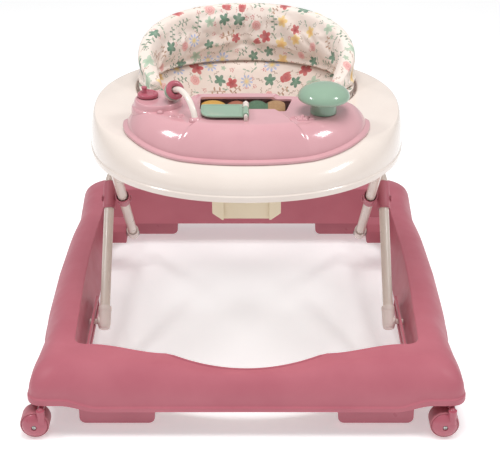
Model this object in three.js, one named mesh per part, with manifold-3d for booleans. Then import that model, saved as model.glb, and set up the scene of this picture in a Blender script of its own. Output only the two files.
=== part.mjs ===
// Baby walker: a wheeled ring base, two crossing U-shaped leg tubes, a tray ring with a seat,
// and a lift-off toy tray. Millimetres, +Z up, origin on the floor under the middle.
// The front, where the toys are, faces -Y. Left is -X.
import * as THREE from 'three';
import { mergeVertices } from 'three/addons/utils/BufferGeometryUtils.js';
import Module from 'manifold-3d';

const wasm = await Module();
wasm.setup();
const { cos, sin, abs, exp, PI } = Math;
const { lerp, clamp, smoothstep, degToRad } = THREE.MathUtils;

// ---------- driving dimensions ----------
const GAP = 0.35; // between pieces that touch
const WALL = 3; // moulded plastic
const BASE = {
  halfWidth: 305, halfLength: 345, frontCorner: 22, rearCorner: 42,
  innerHalfWidth: 235, innerFront: 262, innerRear: 253, innerFrontCorner: 24, innerRearCorner: 42,
  bottom: 41, crest: 106, cornerRise: 10, scoop: 22, scoopHalfWidth: 108, scoopDip: 12,
  slope: 16, slopeEnd: 215, slopeDip: 5,
};
const LEG = {
  tubeRadius: 7.6, tubeWall: 1.2, sleeveRadius: 10.2, lowerArm: 202, upperArm: 163,
  pivotY: 164, pivotZ: 66, slope: degToRad(41.9),
  innerX: 193, outerX: 214.5, innerTopX: 193, outerTopX: 160, bend: 30,
};
const TRAY = {
  centreY: -35, halfWidth: 230, halfLength: 224, roundness: 2.15,
  seatY: 50, seatHalfWidth: 168, seatHalfLength: 108, seatRoundness: 2.3,
  bottom: 320, crest: 378, frontDeck: 371, sideRoll: 12, frontRoll: 75,
};
const CASTER = { radius: 20.3, trail: 9.5, frontX: 285, frontY: -332, rearX: 258, rearY: 326 };
const TOY = { centreY: -100, halfWidth: 178, frontReach: 131, rearReach: 44, deckTop: 407 };
const ARCH = { foot: [-110, -100], end: [-71, -170], radius: 42.6, rise: 28, tube: 4.2 };
const MUSHROOM = { x: 108, y: -136 };
const DIAL = { x: -141, y: -92 };

// ---------- materials ----------
const plastic = (color, roughness) => new THREE.MeshStandardMaterial({ color, roughness, metalness: 0 });
const PINK = plastic(0xc06d7b, 0.55);
const PINK_GLOSS = plastic(0xd9a8ac, 0.25);
const ROSE = plastic(0xb4616f, 0.4);
const CREAM = plastic(0xece0d8, 0.2);
const CAP_WHITE = plastic(0xe6d9d2, 0.4);
const TUBE = plastic(0xdcccc0, 0.35);
const STEEL = new THREE.MeshStandardMaterial({ color: 0xb9b9b6, roughness: 0.3, metalness: 1 });
const GREEN = plastic(0x96bea5, 0.3);
const HANDLE = plastic(0xebdcbe, 0.4);
const FABRIC = plastic(0xf0e1d7, 0.9);
const CARD = plastic(0xb98a4a, 0.8);

// ---------- small helpers ----------
const walker = new THREE.Group();
const SIDES = [['left', -1], ['right', 1]];

function addPart(name, geometry, material) {
  const part = new THREE.Mesh(geometry, material);
  part.name = name;
  walker.add(part);
  return part;
}

/** Turns a closed geometry into a solid for joining and cutting. */
function toSolid(geometry) {
  const bare = geometry.clone();
  bare.deleteAttribute('normal');
  bare.deleteAttribute('uv');
  const merged = mergeVertices(bare, 1e-4);
  const vertProperties = new Float32Array(merged.attributes.position.array);
  const triVerts = new Uint32Array(merged.index.array);
  return new wasm.Manifold(new wasm.Mesh({ numProp: 3, vertProperties, triVerts }));
}

function toGeometry(solid) {
  const { vertProperties, triVerts } = solid.getMesh();
  const geometry = new THREE.BufferGeometry();
  geometry.setAttribute('position', new THREE.BufferAttribute(vertProperties, 3));
  geometry.setIndex(new THREE.BufferAttribute(triVerts, 1));
  geometry.computeVertexNormals();
  return geometry;
}

const join = (first, ...rest) => toGeometry(rest.reduce((a, b) => a.add(toSolid(b)), toSolid(first)));
const cut = (first, ...rest) => toGeometry(rest.reduce((a, b) => a.subtract(toSolid(b)), toSolid(first)));

/** A box given by its lowest and highest corners. */
function block(low, high) {
  const size = high.map((value, k) => value - low[k]);
  const centre = high.map((value, k) => (value + low[k]) / 2);
  return new THREE.BoxGeometry(...size).translate(...centre);
}

/** A round rod between two points. */
function rod(from, to, radius, sides = 12) {
  const a = new THREE.Vector3(...from);
  const b = new THREE.Vector3(...to);
  const geometry = new THREE.CylinderGeometry(radius, radius, a.distanceTo(b), sides);
  const turn = new THREE.Quaternion().setFromUnitVectors(
    new THREE.Vector3(0, 1, 0), b.clone().sub(a).normalize());
  geometry.applyQuaternion(turn);
  return geometry.translate(...a.add(b).multiplyScalar(0.5).toArray());
}

/** A round piece about a vertical axis, from [radius, height] points. */
const turned = (points, sides) =>
  new THREE.LatheGeometry(points.map(([r, z]) => new THREE.Vector2(r, z)), sides).rotateX(PI / 2);

/** Distance from the middle of a superellipse to its edge. */
const reach = (angle, a, b, n) => (abs(cos(angle) / a) ** n + abs(sin(angle) / b) ** n) ** (-1 / n);

function superellipse(count, a, b, n) {
  return Array.from({ length: count }, (_, k) => {
    const angle = (2 * PI * k) / count;
    const r = reach(angle, a, b, n);
    return new THREE.Vector2(r * cos(angle), r * sin(angle));
  });
}

/** An upright block with the given plan outline. */
const upright = (outline, low, high) =>
  new THREE.ExtrudeGeometry(new THREE.Shape(outline), { depth: high - low, bevelEnabled: false, steps: 1 })
    .translate(0, 0, low);

/** A plate whose [y, z] outline is extruded along X. */
function sidePlate(points, fromX, toX) {
  const shape = new THREE.Shape(points.map(([y, z]) => new THREE.Vector2(y, z)));
  const plate = new THREE.ExtrudeGeometry(shape, { depth: toX - fromX, bevelEnabled: false, steps: 1 });
  plate.rotateY(PI / 2).rotateX(PI / 2);
  return plate.translate(fromX, 0, 0);
}

// ---------- rings with a moulded section ----------
/** Thickens a skin of [inward distance, height] points into a closed section. */
function thicken(skin, thickness) {
  const last = skin.length - 1;
  const inside = skin.map(([d, z], k) => {
    if (k === 0) return [d + thickness, z];
    if (k === last) return [d - thickness, z];
    const [d0, z0] = skin[k - 1];
    const [d1, z1] = skin[k + 1];
    const length = Math.hypot(d1 - d0, z1 - z0);
    return [d + (thickness * (z1 - z0)) / length, z - (thickness * (d1 - d0)) / length];
  });
  return [...skin, ...inside.reverse()];
}

/** A closed ring: one section loop at each pair of matching points on the outer and inner outlines. */
function ringGeometry(outer, inner, section) {
  const position = [];
  const index = [];
  let loop = [];
  outer.forEach((from, k) => {
    const to = inner[k];
    const width = from.distanceTo(to);
    loop = section(from, to, width);
    loop.forEach(([d, z]) => position.push(lerp(from.x, to.x, d / width), lerp(from.y, to.y, d / width), z));
  });
  const count = loop.length;
  outer.forEach((_, k) => {
    const here = k * count;
    const next = ((k + 1) % outer.length) * count;
    loop.forEach((__, j) => {
      const up = (j + 1) % count;
      index.push(here + j, next + j, next + up, here + j, next + up, here + up);
    });
  });
  const geometry = new THREE.BufferGeometry();
  geometry.setAttribute('position', new THREE.Float32BufferAttribute(position, 3));
  geometry.setIndex(index);
  return geometry;
}

// ---------- base ----------
/** A rounded rectangle, anticlockwise from the front middle, with the same count of points for any size. */
function roundedRectangle(halfWidth, front, rear, frontCorner, rearCorner) {
  const points = [];
  const line = (x0, y0, x1, y1, steps) => {
    for (let k = 0; k < steps; k++) {
      points.push(new THREE.Vector2(lerp(x0, x1, k / steps), lerp(y0, y1, k / steps)));
    }
  };
  const corner = (x, y, radius, start) => {
    for (let k = 0; k < 4; k++) {
      const angle = start + (k * PI) / 8;
      points.push(new THREE.Vector2(x + radius * cos(angle), y + radius * sin(angle)));
    }
  };
  const frontX = halfWidth - frontCorner;
  const rearX = halfWidth - rearCorner;
  line(0, -front, frontX, -front, 9);
  corner(frontX, frontCorner - front, frontCorner, -PI / 2);
  line(halfWidth, frontCorner - front, halfWidth, rear - rearCorner, 10);
  corner(rearX, rear - rearCorner, rearCorner, 0);
  line(rearX, rear, -rearX, rear, 6);
  corner(-rearX, rear - rearCorner, rearCorner, PI / 2);
  line(-halfWidth, rear - rearCorner, -halfWidth, frontCorner - front, 10);
  corner(-frontX, frontCorner - front, frontCorner, PI);
  line(-frontX, -front, 0, -front, 9);
  return points;
}

/** How far the front bar has sloped forward, and how deep it is in the middle scoop, each 0 to 1. */
function frontShape({ x, y }) {
  if (y > 0) return [0, 0];
  const slope = 1 - smoothstep(abs(x), BASE.scoopHalfWidth, BASE.slopeEnd);
  const scoop = Math.max(0, 1 - (x / BASE.scoopHalfWidth) ** 2);
  return [slope, scoop];
}

function baseOutlines() {
  const outer = roundedRectangle(
    BASE.halfWidth, BASE.halfLength, BASE.halfLength, BASE.frontCorner, BASE.rearCorner);
  outer.forEach((p) => {
    const waist = 5 * exp(-(((p.y - 200) / 50) ** 2)) + 5 * exp(-(((p.y + 205) / 50) ** 2));
    const taper = p.y > 0 ? (14 * p.y) / BASE.halfLength : 0;
    p.x *= 1 - (waist + taper) / BASE.halfWidth;
  });
  const inner = roundedRectangle(
    BASE.innerHalfWidth, BASE.innerFront, BASE.innerRear, BASE.innerFrontCorner, BASE.innerRearCorner);
  inner.forEach((p) => {
    const [slope, scoop] = frontShape(p);
    p.y -= BASE.slope * slope + BASE.scoop * scoop;
  });
  return [outer, inner];
}

/** The height profile of the base bar, from its outer bottom edge over the crest to its inner one. */
function baseSkin(from, to, width) {
  const corner = smoothstep(abs(from.x), 208, 258) * smoothstep(abs(from.y), 262, 306);
  const low = BASE.bottom + BASE.cornerRise * corner;
  const [slope, scoop] = frontShape(to);
  const crest = BASE.crest - BASE.slopeDip * slope - BASE.scoopDip * scoop;
  const onSide = abs(to.x) > BASE.innerHalfWidth - BASE.innerFrontCorner ? 1 : 0;
  const lean = 6 + 7 * onSide;
  const skin = [[0, low], [0, low + 9], [3, low + 12]];
  for (let k = 1; k <= 4; k++) {
    const turn = (k * PI) / 8;
    skin.push([3 + (0.62 * width - 3) * (1 - cos(turn)), low + 12 + (crest - low - 12) * sin(turn)]);
  }
  skin.push([width - lean - 5, crest - 2], [width - lean, crest - 8], [width, BASE.bottom]);
  return skin;
}

const baseSection = (from, to, width) => thicken(baseSkin(from, to, width), WALL);
const baseShell = ringGeometry(...baseOutlines(), baseSection);
addPart('base_shell', baseShell, PINK);

/** A rubber-faced stopper foot under the base, wide along X. */
function stopper(centreX, frontY, bottom) {
  const half = 53;
  const radius = 9;
  const shape = new THREE.Shape();
  shape.moveTo(-half, 82).lineTo(-half, bottom + radius);
  shape.absarc(-half + radius, bottom + radius, radius, PI, 1.5 * PI, false);
  shape.absarc(half - radius, bottom + radius, radius, 1.5 * PI, 2 * PI, false);
  shape.lineTo(half, 82);
  const foot = new THREE.ExtrudeGeometry(shape, { depth: 20, bevelEnabled: false, steps: 1, curveSegments: 3 });
  return foot.rotateX(PI / 2).translate(centreX, frontY + 20, 0);
}

for (const [side, sign] of SIDES) {
  addPart(`front_stopper_${side}`, stopper(sign * 181.5, -325, 10), ROSE);
  addPart(`rear_stopper_${side}`, stopper(sign * 176, 270, 12), ROSE);
}

/** The moulded post on the inner wall that holds the rear pivot pin. */
function pivotPost(sign) {
  const [inside, outside] = [203.8, 250];
  const front = LEG.pivotY - 16;
  const rear = LEG.pivotY + 26;
  const outline = [[front, 55], [rear, 55], [rear, 74], [rear - 7, 87], [rear - 21, 93],
    [front + 7, 87], [front, 76]];
  const post = sidePlate(outline, sign > 0 ? inside : -outside, sign > 0 ? outside : -inside);
  const pinHole = rod([sign * 190, LEG.pivotY, LEG.pivotZ], [sign * 218, LEG.pivotY, LEG.pivotZ], 4.4);
  const wallRoom = baseShell.clone().translate(-sign * 0.8, 0, 0);
  const cutPost = toSolid(post).subtract(toSolid(pinHole)).subtract(toSolid(wallRoom));
  const pieces = cutPost.decompose().sort((a, b) => b.volume() - a.volume());
  return toGeometry(pieces[0]);
}

/** The slotted rail on the inner wall that guides the sliding foot of the outer legs. */
function sliderTrack(sign) {
  const plate = sidePlate([[-246, 53], [-66, 53], [-82, 80], [-246, 80]], 228.6, 231.6);
  const slot = sidePlate([[-241, 61.4], [-80, 61.4], [-80, 70.6], [-241, 70.6]], 220, 240);
  const track = cut(plate, slot);
  return sign > 0 ? track : toGeometry(toSolid(track).mirror([1, 0, 0]));
}

for (const [side, sign] of SIDES) {
  addPart(`pivot_post_${side}`, pivotPost(sign), PINK);
  addPart(`slider_track_${side}`, sliderTrack(sign), PINK);
}

// ---------- casters ----------
/** A round piece with a bore along Y, from [radius, y] points that run towards -Y and close on themselves. */
function turnedAlongY(points, sides) {
  const outline = [...points, points[0]].reverse().map(([r, y]) => new THREE.Vector2(r, y));
  return new THREE.LatheGeometry(outline, sides);
}

/** One caster in its own frame: stem on the Z axis, wheel trailing to -X, screw head facing -Y. */
function caster(label, x, y, turn) {
  const wheel = [-CASTER.trail, CASTER.radius];
  const hood = [[3.2, -11.2], [18.1, -11.2], [18.1, -14.6], [15.4, -18], [10, -20.8], [4.6, -22], [4.6, -20],
    [3.2, -20]];
  const cover = turnedAlongY(hood, 18);
  cover.translate(wheel[0], 0, wheel[1]);
  const arm = block([-6, -18, 28], [6, -14.4, 45.6]);
  const bridge = block([-6, -18, 41.2], [6, 5, 45.6]);
  const stem = rod([0, 0, 42.4], [0, 0, 64], 4.5);
  const bore = rod([wheel[0], -30, wheel[1]], [wheel[0], -11, wheel[1]], 3.2);
  const fork = toGeometry(
    toSolid(cover).add(toSolid(arm)).add(toSolid(bridge)).add(toSolid(stem)).subtract(toSolid(bore)));
  const tread = [[3.2, 14], [17, 14], [20.3, 11], [20.3, -12.5], [19.6, -14], [18.6, -14], [18.6, -10.8],
    [3.2, -10.8]];
  const tyre = turnedAlongY(tread, 18);
  tyre.translate(wheel[0], 0, wheel[1]);
  const screw = [[0, -22], [4, -21.2], [4, -20.3], [2.8, -20.3], [2.8, 15.5], [0, 15.5]];
  const axle = new THREE.LatheGeometry(screw.map(([r, along]) => new THREE.Vector2(r, along)), 10);
  axle.translate(wheel[0], 0, wheel[1]);
  const place = (geometry) => geometry.rotateZ(turn).translate(x, y, 0);
  addPart(`caster_fork_${label}`, place(fork), PINK);
  addPart(`caster_wheel_${label}`, place(tyre), ROSE);
  addPart(`caster_axle_${label}`, place(axle), STEEL);
}

for (const [side, sign] of SIDES) {
  caster(`front_${side}`, sign * CASTER.frontX, CASTER.frontY, 0);
  caster(`rear_${side}`, sign * CASTER.rearX, CASTER.rearY, PI);
}

// ---------- crossing legs ----------
const along = (y, z, distance, direction) =>
  [y + direction * distance * cos(LEG.slope), z + distance * sin(LEG.slope)];
const CROSSING = along(LEG.pivotY, LEG.pivotZ, LEG.lowerArm, -1);
const OUTER_FOOT = along(...CROSSING, -LEG.lowerArm, 1);
const LEG_LENGTH = LEG.lowerArm + LEG.upperArm;

/** The middle line of a U tube: up one leg, leaning in to its top corner, across, and down the other leg. */
function legPath(halfWidth, topHalfWidth, footY, footZ, direction) {
  const at = (x, distance) => new THREE.Vector3(x, ...along(footY, footZ, distance, direction));
  const kink = at(halfWidth, LEG.lowerArm + 34);
  const corner = at(topHalfWidth, LEG_LENGTH);
  const before = corner.clone().lerp(kink, LEG.bend / corner.distanceTo(kink));
  const bend = new THREE.QuadraticBezierCurve3(before, corner, at(topHalfWidth - LEG.bend, LEG_LENGTH));
  const points = [at(halfWidth, 9), at(halfWidth, LEG.lowerArm), kink, ...bend.getPoints(4)];
  const mirrored = points.map((p) => new THREE.Vector3(-p.x, p.y, p.z)).reverse();
  return [...points, ...mirrored];
}

function tubeGeometry(points) {
  const path = new THREE.CatmullRomCurve3(points);
  path.getUtoTmapping = (u) => u; // one step at each point
  const section = new THREE.Shape();
  const circle = (radius) => Array.from({ length: 10 }, (_, k) =>
    new THREE.Vector2(radius * cos((k * PI) / 5), radius * sin((k * PI) / 5)));
  section.setFromPoints(circle(LEG.tubeRadius));
  section.holes.push(new THREE.Path(circle(LEG.tubeRadius - LEG.tubeWall).reverse()));
  return new THREE.ExtrudeGeometry(section, { steps: points.length - 1, extrudePath: path, bevelEnabled: false });
}

/** A round piece on a leg, between two distances from its foot. */
function onLeg(x, foot, direction, from, to, radius, sides = 12) {
  return rod([x, ...along(...foot, from, direction)], [x, ...along(...foot, to, direction)], radius, sides);
}

const crossBore = (sign, radius) => rod([sign * 170, ...CROSSING], [sign * 240, ...CROSSING], radius, 8);

/** A U tube with the two plastic sleeves that hold it at the crossing. */
function legs(name, x, topX, foot, direction, sleeveName, sleeveSpan) {
  const tube = tubeGeometry(legPath(x, topX, ...foot, direction));
  addPart(`${name}_leg_tube`, cut(tube, crossBore(-1, 3.4), crossBore(1, 3.4)), TUBE);
  for (const [side, sign] of SIDES) {
    const sleeve = toSolid(onLeg(sign * x, foot, direction, ...sleeveSpan, LEG.sleeveRadius))
      .subtract(toSolid(onLeg(sign * x, foot, direction, 0, LEG_LENGTH, LEG.tubeRadius + GAP)))
      .subtract(toSolid(crossBore(sign, 3.4)));
    addPart(`${name}_leg_${sleeveName}_${side}`, toGeometry(sleeve), PINK);
  }
}

const INNER_FOOT = [LEG.pivotY, LEG.pivotZ];
legs('inner', LEG.innerX, LEG.innerTopX, INNER_FOOT, -1, 'clamp', [188, 216]);
legs('outer', LEG.outerX, LEG.outerTopX, OUTER_FOOT, 1, 'sleeve', [184, 230]);

for (const [side, sign] of SIDES) {
  const pin = turned([[0, 0], [5, 0.8], [5, 2.6], [3, 2.6], [3, 45.4], [5, 45.4], [5, 47.2], [0, 48]], 10);
  pin.rotateY(PI / 2).translate(-24, 0, 0);
  addPart(`cross_pin_${side}`, pin.translate(sign * 203.7, ...CROSSING), PINK);

  const innerCap = toSolid(onLeg(sign * LEG.innerX, INNER_FOOT, -1, -11, 22, 10))
    .subtract(toSolid(onLeg(sign * LEG.innerX, INNER_FOOT, -1, 8.5, 30, LEG.tubeRadius + GAP)))
    .subtract(toSolid(rod([sign * 170, ...INNER_FOOT], [sign * 215, ...INNER_FOOT], 4.3)));
  addPart(`inner_leg_cap_${side}`, toGeometry(innerCap), CAP_WHITE);
  const pivotPin = rod([sign * 182.5, ...INNER_FOOT], [sign * 216, ...INNER_FOOT], 3.9);
  addPart(`rear_pivot_pin_${side}`, pivotPin, STEEL);

  const outerCap = toSolid(onLeg(sign * LEG.outerX, OUTER_FOOT, 1, -12, 24, 10))
    .subtract(toSolid(onLeg(sign * LEG.outerX, OUTER_FOOT, 1, 8.5, 30, LEG.tubeRadius + GAP)))
    .add(toSolid(rod([sign * 212, ...OUTER_FOOT], [sign * 236.5, ...OUTER_FOOT], 4.1)));
  addPart(`outer_leg_cap_${side}`, toGeometry(outerCap), CAP_WHITE);
}

// ---------- tray ring ----------
const trayOutline = superellipse(56, TRAY.halfWidth, TRAY.halfLength, TRAY.roundness)
  .map((p) => p.add(new THREE.Vector2(0, TRAY.centreY)));
const seatOutline = (count, inset) =>
  superellipse(count, TRAY.seatHalfWidth - inset, TRAY.seatHalfLength - inset, TRAY.seatRoundness)
    .map((p) => p.add(new THREE.Vector2(0, TRAY.seatY)));

/** The height profile of the tray, from its lower lip over the roll to the seat opening. */
function traySkin(from, to, width) {
  const front = smoothstep(TRAY.seatY - to.y, -10, 90);
  const crest = lerp(TRAY.crest, TRAY.frontDeck, front);
  const forward = clamp((-40 - from.y) / 200, 0, 1);
  const roll = Math.min(lerp(TRAY.sideRoll, TRAY.frontRoll, forward ** 3), 0.75 * width);
  const skin = [[1, TRAY.bottom], [-1, TRAY.bottom + 8]];
  for (let k = 1; k <= 5; k++) {
    const turn = (k * PI) / 10;
    skin.push([roll * (1 - cos(turn)), TRAY.bottom + 14 + (crest - TRAY.bottom - 14) * sin(turn)]);
  }
  skin.push([width - 4, crest - 0.5], [width, crest - 5], [width, crest - 22]);
  return skin;
}

const trayRing = ringGeometry(trayOutline, seatOutline(56, 0), (from, to, width) =>
  thicken(traySkin(from, to, width), WALL));
const trayFilled = ringGeometry(trayOutline, seatOutline(56, 0), (from, to, width) =>
  [...traySkin(from, to, width), [width, 300], [1, 300]]);
addPart('tray_ring', trayRing, CREAM);

for (const [side, sign] of SIDES) {
  const [barY, barZ] = along(...OUTER_FOOT, LEG_LENGTH, 1);
  const outline = [[barY - 12, barZ - 12], [barY + 12, barZ - 12], [175, 330], [175, 354], [171, 363],
    [163, 363], [163, 345], [barY - 12, barZ + 14]];
  const [near, far] = sign > 0 ? [38, 52] : [-52, -38];
  const bracket = cut(sidePlate(outline, near, far), rod([near - 5, barY, barZ], [far + 5, barY, barZ], 8.1));
  addPart(`leg_bracket_${side}`, bracket, CREAM);
}

/** Two slotted cheeks, joined front and back, that the inner legs' cross bar slides and locks in. */
function heightRack() {
  const [, barZ] = along(...INNER_FOOT, LEG_LENGTH, -1);
  const [slotLow, slotHigh] = [barZ - 8.4, barZ + 8.4];
  const [low, tongueLow, top] = [slotLow - 3.2, slotLow - 20, 364];
  const [front, rear, neck] = [-203, -52, 326];
  const cheek = [[front, low], [-190, low], [-190, tongueLow], [-110, tongueLow], [-110, low], [rear, low],
    [rear, neck], [rear - 14, neck + 8], [rear - 14, top], [front, top]];
  const slot = [[-194, slotLow], [-61, slotLow], [-61, slotHigh], [-194, slotHigh]];
  const left = cut(sidePlate(cheek, -45, -38), sidePlate(slot, -50, -30));
  const right = cut(sidePlate(cheek, 38, 45), sidePlate(slot, 30, 50));
  const rearBar = block([-45, rear - 4, low], [45, rear, neck]);
  const frontBar = block([-45, front, neck], [45, front + 6, top]);
  return join(left, right, rearBar, frontBar);
}
addPart('height_rack', heightRack(), CREAM);

/** The pull handle under the front of the tray, with a tongue that runs back between the rack cheeks. */
function releaseHandle() {
  const [halfWidth, low, top] = [47.5, 277, 312];
  const [chamferWidth, chamferHeight] = [13.5, 10];
  const shape = new THREE.Shape();
  shape.moveTo(-halfWidth, top).lineTo(-halfWidth, low + chamferHeight);
  shape.lineTo(chamferWidth - halfWidth, low).lineTo(halfWidth - chamferWidth, low);
  shape.lineTo(halfWidth, low + chamferHeight).lineTo(halfWidth, top);
  const body = new THREE.ExtrudeGeometry(shape, { depth: 18.2, bevelEnabled: false, steps: 1 });
  body.rotateX(PI / 2).translate(0, -203.8, 0);
  const sunkPanel = block([-31.5, -230, low - 8], [31.5, -217.6, top + 8]);
  const tongue = block([-35, -206, 284.5], [35, -120, 294.5]);
  return toGeometry(toSolid(body).subtract(toSolid(sunkPanel)).add(toSolid(tongue)));
}
addPart('release_handle', releaseHandle(), HANDLE);

// ---------- seat ----------
const hoopSection = (from, to, width) => [[0, 354], [0, 371], [width, 371], [width, 354]];
addPart('seat_hoop', ringGeometry(seatOutline(32, 3.6), seatOutline(32, 9), hoopSection), CAP_WHITE);

/** The hanging fabric seat: a soft bucket with two leg holes. */
function seatSling() {
  const outside = [[0, 196], [0.3, 197], [0.48, 210], [0.62, 250], [0.72, 300], [0.78, 335], [0.92, 350],
    [0.955, 370]];
  const inside = outside.map(([r, z]) => [Math.max(0, r - 0.05), z === 370 ? 370 : z + 5]).reverse();
  const halfWidth = TRAY.seatHalfWidth - 10;
  const profile = [...outside, ...inside].map(([r, z]) => [r * halfWidth, z]);
  const bucket = turned(profile, 24).scale(1, 98 / halfWidth, 1).translate(0, TRAY.seatY, 0);
  const legHole = (x) => rod([x, 38, 150], [x, 38, 250], 36, 14);
  return cut(bucket, legHole(-64), legHole(64));
}
addPart('seat_sling', seatSling(), FABRIC);

/** The padded back that wraps round behind the child: an arc in plan, lower towards its ends. */
function seatBackrest() {
  const [halfWidth, halfLength, centreY, thickness] = [166, 112, 56, 26];
  const [bottom, top, endDrop, endAngle] = [380.6, 476, 80, 118];
  const steps = 20;
  const at = (k, inset) => {
    const angle = degToRad(lerp(-endAngle, endAngle, k / steps));
    return new THREE.Vector2((halfWidth - inset) * sin(angle), centreY + (halfLength - inset) * cos(angle));
  };
  const outside = Array.from({ length: steps + 1 }, (_, k) => at(k, 0));
  const inside = Array.from({ length: steps + 1 }, (_, k) => at(k, thickness)).reverse();
  const pad = upright([...outside, ...inside], 0, 1);
  const position = pad.attributes.position;
  for (let k = 0; k < position.count; k++) {
    const angle = Math.atan2(position.getX(k) / halfWidth, (position.getY(k) - centreY) / halfLength);
    const height = top - endDrop * abs(angle / degToRad(endAngle)) ** 2.3;
    position.setZ(k, position.getZ(k) > 0.5 ? height : bottom);
  }
  return pad;
}
addPart('seat_backrest', seatBackrest(), FABRIC);

// ---------- toy tray ----------
const ovalOutline = (count, halfWidth, front, rear) =>
  Array.from({ length: count }, (_, k) => {
    const angle = (2 * PI * k) / count;
    const length = sin(angle) < 0 ? front : rear;
    return new THREE.Vector2(halfWidth * cos(angle), TOY.centreY + length * sin(angle));
  });

/** The moulded toy tray: a flange that follows the ring, a raised deck, a turret and a picture well. */
function toyTray() {
  const flange = upright(ovalOutline(36, TOY.halfWidth, TOY.frontReach, TOY.rearReach), 340, 377);
  const deck = upright(ovalOutline(28, 144, 90, 30), 372, TOY.deckTop);
  const turret = turned([[0, 373], [34, 373], [33, 411], [0, 411]], 18).translate(-126, -100, 0);
  const well = block([-66, -132, 393], [66, -84, 420]);
  const hollow = upright(ovalOutline(24, 132, 78, 22), 300, 388);
  const seatRoom = block([-200, TRAY.seatY - TRAY.seatHalfLength - 13, 300], [200, 0, 373.1]);
  return toGeometry([deck, turret].reduce((a, b) => a.add(toSolid(b)), toSolid(flange))
    .subtract(toSolid(well)).subtract(toSolid(hollow)).subtract(toSolid(seatRoom))
    .subtract(toSolid(trayFilled.clone().translate(0, 0, GAP))));
}
addPart('toy_tray', toyTray(), PINK_GLOSS);
addPart('picture_card', block([-65, -131, 393.3], [65, -85, 396]), CARD);

const BINDER = { x: -1, z: 414, front: -178, rear: -126 };
function binder() {
  const bar = rod([BINDER.x, BINDER.front, BINDER.z], [BINDER.x, BINDER.rear, BINDER.z], 2, 10);
  const post = (y) =>
    block([BINDER.x - 2.5, y - 1.5, TOY.deckTop + GAP], [BINDER.x + 2.5, y + 1.5, BINDER.z + 2.5]);
  return join(bar, post(BINDER.front), post(BINDER.rear));
}
addPart('page_binder', binder(), CAP_WHITE);

function flipPage() {
  const [front, rear] = [BINDER.front + 3, BINDER.rear - 3];
  const leaf = new THREE.Shape();
  leaf.moveTo(BINDER.x - 3, rear).lineTo(-52, rear).quadraticCurveTo(-66, rear, -66, rear - 14);
  leaf.lineTo(-66, front + 12).quadraticCurveTo(-62, front, -48, front).lineTo(BINDER.x - 3, front);
  const page = new THREE.ExtrudeGeometry(leaf, { depth: 3.4, bevelEnabled: false, steps: 1, curveSegments: 4 });
  const barrel = rod([BINDER.x, front, BINDER.z], [BINDER.x, rear, BINDER.z], 4.4, 12);
  const bore = rod([BINDER.x, front - 5, BINDER.z], [BINDER.x, rear + 5, BINDER.z], 2.5, 12);
  return cut(join(page.translate(0, 0, 410.2), barrel), bore);
}
addPart('flip_page', flipPage(), GREEN);

function dial() {
  const disc = turned([[0, 411.5], [15, 411.5], [15, 415.5], [12.5, 417.3], [0, 417.3]], 18);
  const peg = turned([[0, 417], [3.6, 417], [3.6, 424.5], [0, 426]], 10).translate(-5, 0, 0);
  return join(disc, peg).translate(DIAL.x, DIAL.y, 0);
}
addPart('toy_dial', dial(), ROSE);

// The bead arch is part of a circle in an upright plane between its two feet.
const archRun = new THREE.Vector2(...ARCH.end).sub(new THREE.Vector2(...ARCH.foot));
const archDirection = archRun.clone().normalize();
const archMiddle = new THREE.Vector2(...ARCH.foot).addScaledVector(archRun, 0.5);
const archCentreZ = TOY.deckTop + ARCH.rise - ARCH.radius;
const archHalfAngle = Math.asin(archRun.length() / 2 / ARCH.radius);
const onArch = (angle) => new THREE.Vector3(
  archMiddle.x + archDirection.x * ARCH.radius * sin(angle),
  archMiddle.y + archDirection.y * ARCH.radius * sin(angle),
  archCentreZ + ARCH.radius * cos(angle));

class ArchCurve extends THREE.Curve {
  getPoint(t, target = new THREE.Vector3()) {
    return target.copy(onArch(lerp(-archHalfAngle, archHalfAngle, t)));
  }
}

function beadArch() {
  const section = new THREE.Shape(superellipse(8, ARCH.tube, ARCH.tube, 2));
  const bar = new THREE.ExtrudeGeometry(section, { steps: 12, extrudePath: new ArchCurve(), bevelEnabled: false });
  const belowDeck = block([-140, -200, 380], [-40, -60, 411.4]);
  const socket = turned([[0, TOY.deckTop + GAP], [6.5, TOY.deckTop + GAP], [5.5, 413.5], [0, 413.5]], 10);
  return toGeometry(toSolid(bar).subtract(toSolid(belowDeck))
    .add(toSolid(socket.clone().translate(ARCH.end[0], ARCH.end[1], 0)))
    .add(toSolid(turned([[0, 411.4], [6.2, 411.4], [5.5, 414], [0, 414]], 10).translate(...ARCH.foot, 0))));
}
addPart('bead_arch', beadArch(), CREAM);

/** A ring threaded on the arch at the given angle from the top. */
function beadRing(degrees, radius) {
  const angle = degToRad(degrees);
  const ring = new THREE.TorusGeometry(radius, 3.1, 6, 14);
  const tangent = new THREE.Vector3(archDirection.x * cos(angle), archDirection.y * cos(angle), -sin(angle));
  ring.applyQuaternion(new THREE.Quaternion().setFromUnitVectors(new THREE.Vector3(0, 0, 1), tangent));
  return ring.translate(...onArch(angle).toArray());
}
addPart('bead_ring_pink', beadRing(-29, 9.4), ROSE);
addPart('bead_ring_green', beadRing(-39, 9), GREEN);
addPart('bead_ring_cream', beadRing(-49, 8.2), CREAM);

const post = turned([[0, 407.4], [18.5, 407.4], [18, 421.4], [5, 421.4], [5, 437], [0, 437]], 18);
addPart('mushroom_post', post.translate(MUSHROOM.x, MUSHROOM.y, 0), GREEN);
const capSection = [[0, 438], [5.5, 438], [5.5, 422.4], [31, 422.4], [36.5, 426.5], [35, 432], [28, 440],
  [15, 444.7], [0, 446.5]];
const cap = turned(capSection, 20);
addPart('mushroom_cap', cap.translate(MUSHROOM.x, MUSHROOM.y, 0), GREEN);

export default walker;
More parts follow.
